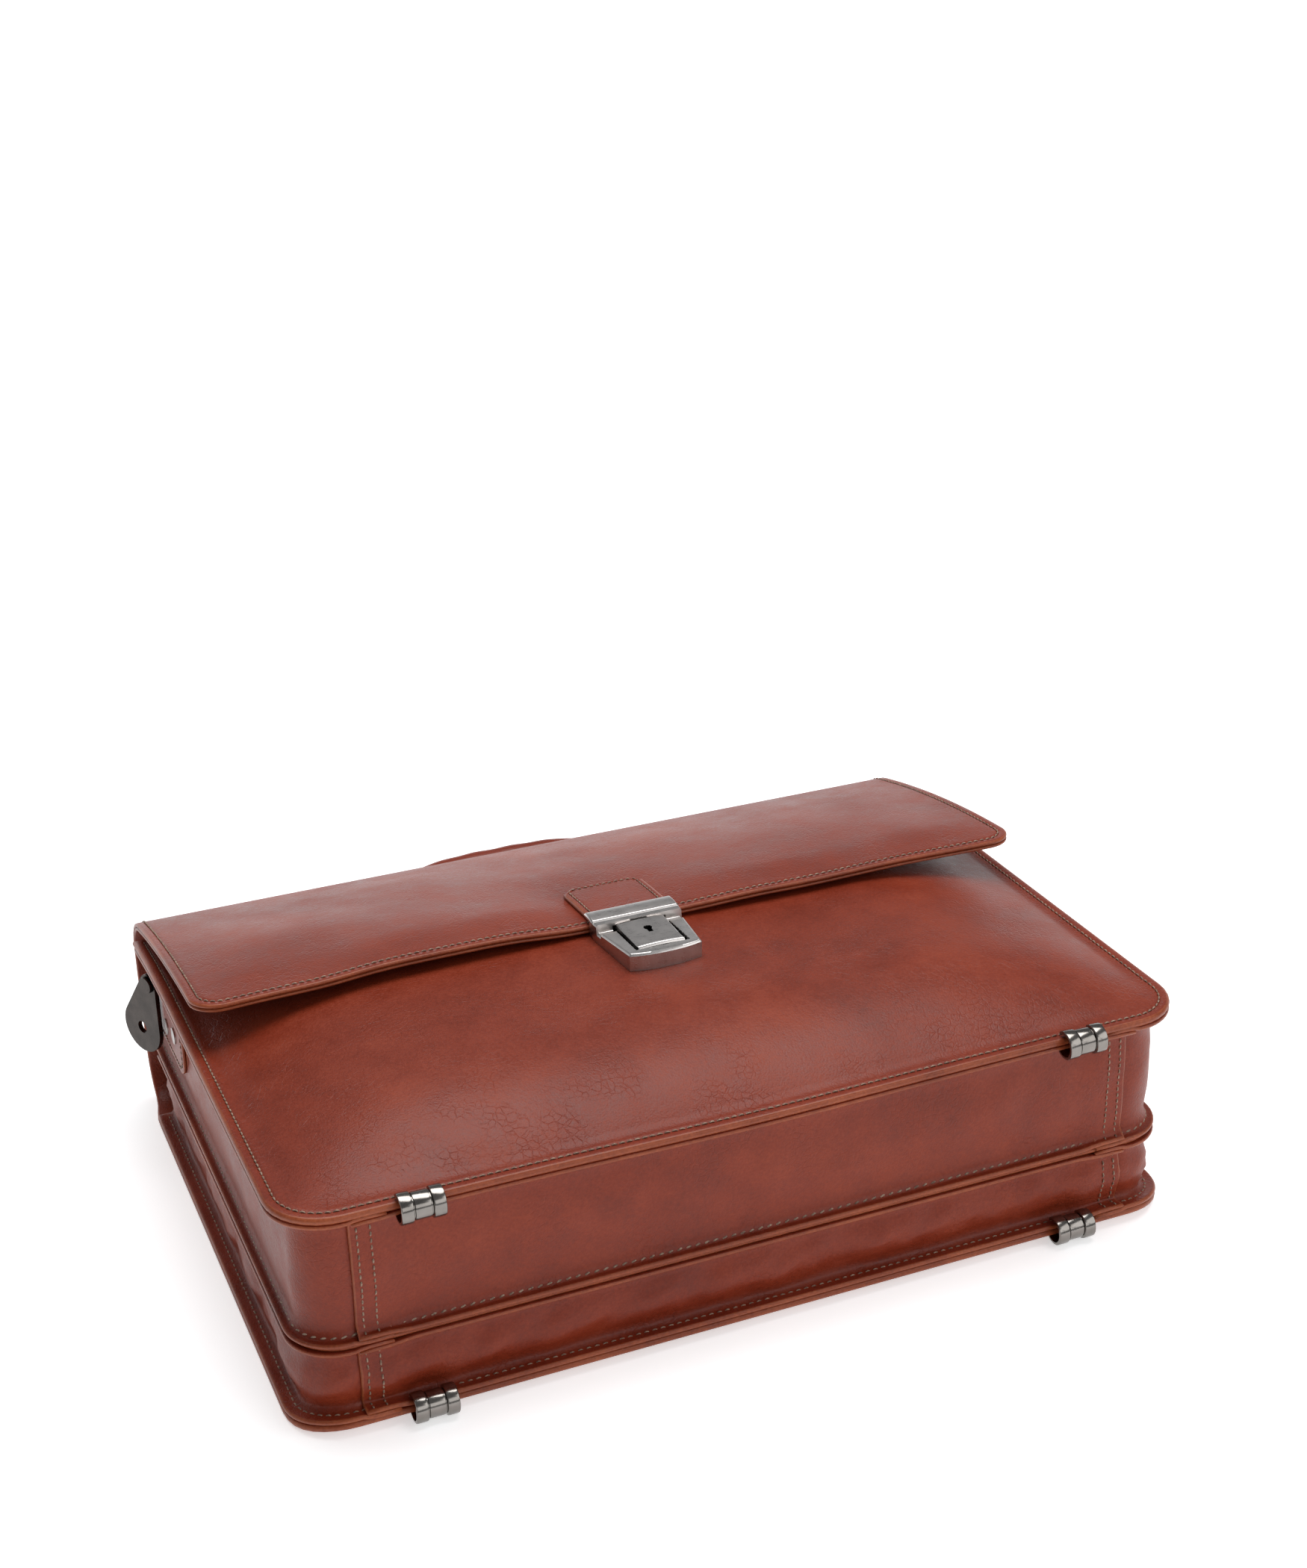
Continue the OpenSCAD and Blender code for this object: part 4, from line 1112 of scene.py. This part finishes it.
def loop_surface(x, y, lo=lo):
    d = np.asarray(x, float) + loop_run[-1] / 2
    return np.stack([np.interp(d, loop_run, loop_path[:, 0]), lo[1] + np.asarray(y, float),
                     np.interp(d, loop_run, loop_path[:, 1])], axis=-1)


v, f, m = sheet(loop_surface, (loop_run[-1], hi[1] - lo[1]), 1.3, border=2.5, edge=0.5, step=1.6)
make("pen_loops_leather", v, f, INNERS, "inner_leather", "root", m, ["pen_loops"])
rising_x = np.maximum.accumulate(loop_path[:, 0]) + 1e-6 * np.arange(len(loop_path))
y = np.arange(1.5, hi[1] - lo[1] - 1.5, 0.8)
for k in range(4):
    flat_x = np.interp(69.0 + PEN_PITCH * k, rising_x, loop_run) - loop_run[-1] / 2
    rows.append(stitches(loop_surface, np.stack([np.full(len(y), flat_x), y], axis=-1), pitch=3.0))
sewn("pocket_stitches", rows)

lo, hi = cad("zip_pocket")
tape_lo, tape_hi = cad("zip_tape")


def cloth_surface(y0, y1):
    """The zip pocket's cloth between two heights on the back wall."""
    def surface(x, y):
        x, y = floats(x, y)
        inner = smooth(((hi[0] - lo[0]) / 2 - np.abs(x)) / 20)
        inner = inner * smooth(y / 16) * smooth((y1 - y0 - y) / 16)
        return np.stack([x, y0 + y, hi[2] + 0.1 + (0.5 + 0.2 * ripple(x, y, 50, 44)) * inner], axis=-1)

    return surface


parts, rows = [], []
for y0, y1 in ((lo[1], tape_lo[1] + 1.5), (tape_hi[1] - 1.5, hi[1])):
    size = (hi[0] - lo[0], y1 - y0)
    v, f, _ = sheet(cloth_surface(y0, y1), size, 0.9, border=4, edge=0.4, step=6)
    parts.append((v, f))
    rows.append(stitches(cloth_surface(y0, y1), outline(size, 2.4, sides="lbrt"), pitch=2.8, width=0.6,
                         proud=0.2))
make("zip_pocket_cloth", *joined(parts), [LINING], "lining", "root", None, ["zip_pocket"])
sewn("zip_pocket_stitches", rows)


def tape_surface(x, y):
    x, y = floats(x, y)
    return np.stack([x, tape_lo[1] + y, tape_lo[2] + 0.9 + 0.08 * ripple(x, y, 30, 61)], axis=-1)


v, f, _ = sheet(tape_surface, (tape_hi[0] - tape_lo[0], tape_hi[1] - tape_lo[1]), 0.7, border=1.6, edge=0.3,
                step=2.5)
parts = [(v, f)]
zip_mid = (tape_lo[1] + tape_hi[1]) / 2
for k, x in enumerate(np.arange(tape_lo[0] + 3, tape_hi[0] - 3, 1.25)):
    reach = 1.5 if k % 2 else -1.5
    ring = []
    for a in np.linspace(0, 2 * pi, 9)[:-1]:
        ring.append((x + 0.42 * cos(a), 0.5 * sin(a)))
    tooth = [(px, zip_mid + e, tape_lo[2] + 1.3 + pz) for e in (-0.35 * reach, reach) for px, pz in ring]
    near, far = list(range(8)), list(range(8, 16))
    parts.append((tooth, quads(near, far) + [near, far[::-1]]))
make("zip_tape_cloth", *joined(parts), [TAPE], "zip_tape", "root", None, ["zip_tape"])


# ---- Floor, lights, camera ----

SENSOR_MM, LENS_MM = 36.0, 54.595
CAMERA_PLACE = (-0.34448, SEAM_Y - 0.73346, 0.60884)
CAMERA_TURN = (24.148, 22.137, -1.281)  # degrees: down, to the right, roll
BAG_MIDDLE = (0, 0, 0.05)
FLOOR_HALF = 20.0


def camera():
    data = bpy.data.cameras.new("camera")
    data.sensor_width = SENSOR_MM
    data.lens = LENS_MM
    data.clip_end = 100
    view = bpy.data.objects.new("camera", data)
    pitch, yaw, roll = (radians(a) for a in CAMERA_TURN)
    ahead = Vector((sin(yaw) * cos(pitch), cos(yaw) * cos(pitch), -sin(pitch)))
    right = Vector((cos(yaw), -sin(yaw), 0.0))
    up = right.cross(ahead)
    x = right * cos(roll) + up * sin(roll)
    y = up * cos(roll) - right * sin(roll)
    turn = Matrix((x, y, -ahead)).transposed().to_4x4()
    view.matrix_world = Matrix.Translation(CAMERA_PLACE) @ turn
    bpy.context.scene.collection.objects.link(view)
    bpy.context.scene.camera = view


def softbox(name, place, size, power):
    data = bpy.data.lights.new(name, "AREA")
    data.shape = "RECTANGLE"
    data.size, data.size_y = size
    data.energy = power
    light = bpy.data.objects.new(name, data)
    light.location = place
    light.rotation_mode = "QUATERNION"
    light.rotation_quaternion = (Vector(BAG_MIDDLE) - Vector(place)).to_track_quat("-Z", "Y")
    bpy.context.scene.collection.objects.link(light)


def floor():
    material, tree, bsdf = shader("floor")
    where = object_places(tree)
    tone = ramp(tree, noise_at(tree, where, 500, 2), [(0.3, (0.84, 0.84, 0.845)), (0.7, (0.86, 0.86, 0.865))])
    distance = tree.nodes.new("ShaderNodeVectorMath")
    distance.operation = "LENGTH"
    tree.links.new(where, distance.inputs[0])
    glow = ramp(tree, maths(tree, "DIVIDE", distance.outputs["Value"], 4.0), [(0.1, 0.5), (0.5, 0.9)])
    wire(tree, bsdf, Base_Color=tone, Roughness=0.9, Specular_IOR_Level=0.1, Emission_Color=(1, 1, 1, 1),
         Emission_Strength=glow)
    mesh = bpy.data.meshes.new("floor")
    s = FLOOR_HALF
    mesh.from_pydata([(-s, -s, 0), (s, -s, 0), (s, s, 0), (-s, s, 0)], [], [(0, 1, 2, 3)])
    mesh.materials.append(material)
    ground = bpy.data.objects.new("floor", mesh)
    bpy.context.scene.collection.objects.link(ground)


camera()
floor()
softbox("key", (0.2, 0.3, 1.9), (1.8, 1.2), 36)
softbox("fill", (1.6, -1.6, 1.3), (1.6, 1.6), 15)
softbox("front", (0.3, -2.2, 1.0), (1.4, 1.0), 7)

# The sky is even, with a bright low band beyond the bag that the flap's sheen reflects.
world = bpy.data.worlds.new("studio")
world.use_nodes = True
tree = world.node_tree
facing = add(tree, "SeparateXYZ", Vector=tree.nodes.new("ShaderNodeTexCoord").outputs["Generated"])
tilt = maths(tree, "POWER", maths(tree, "ABSOLUTE", facing.outputs["Z"]), 2.0)
low = maths(tree, "EXPONENT", maths(tree, "MULTIPLY", tilt, -38.0))
behind = maths(tree, "MULTIPLY", maths(tree, "MAXIMUM", facing.outputs["Y"], 0.0), low)
tree.links.new(maths(tree, "MULTIPLY_ADD", behind, 2.5, 0.24), tree.nodes["Background"].inputs["Strength"])
tree.nodes["Background"].inputs["Color"].default_value = (0.97, 0.98, 1.0, 1)
bpy.context.scene.world = world
bpy.context.scene.view_settings.view_transform = "Standard"
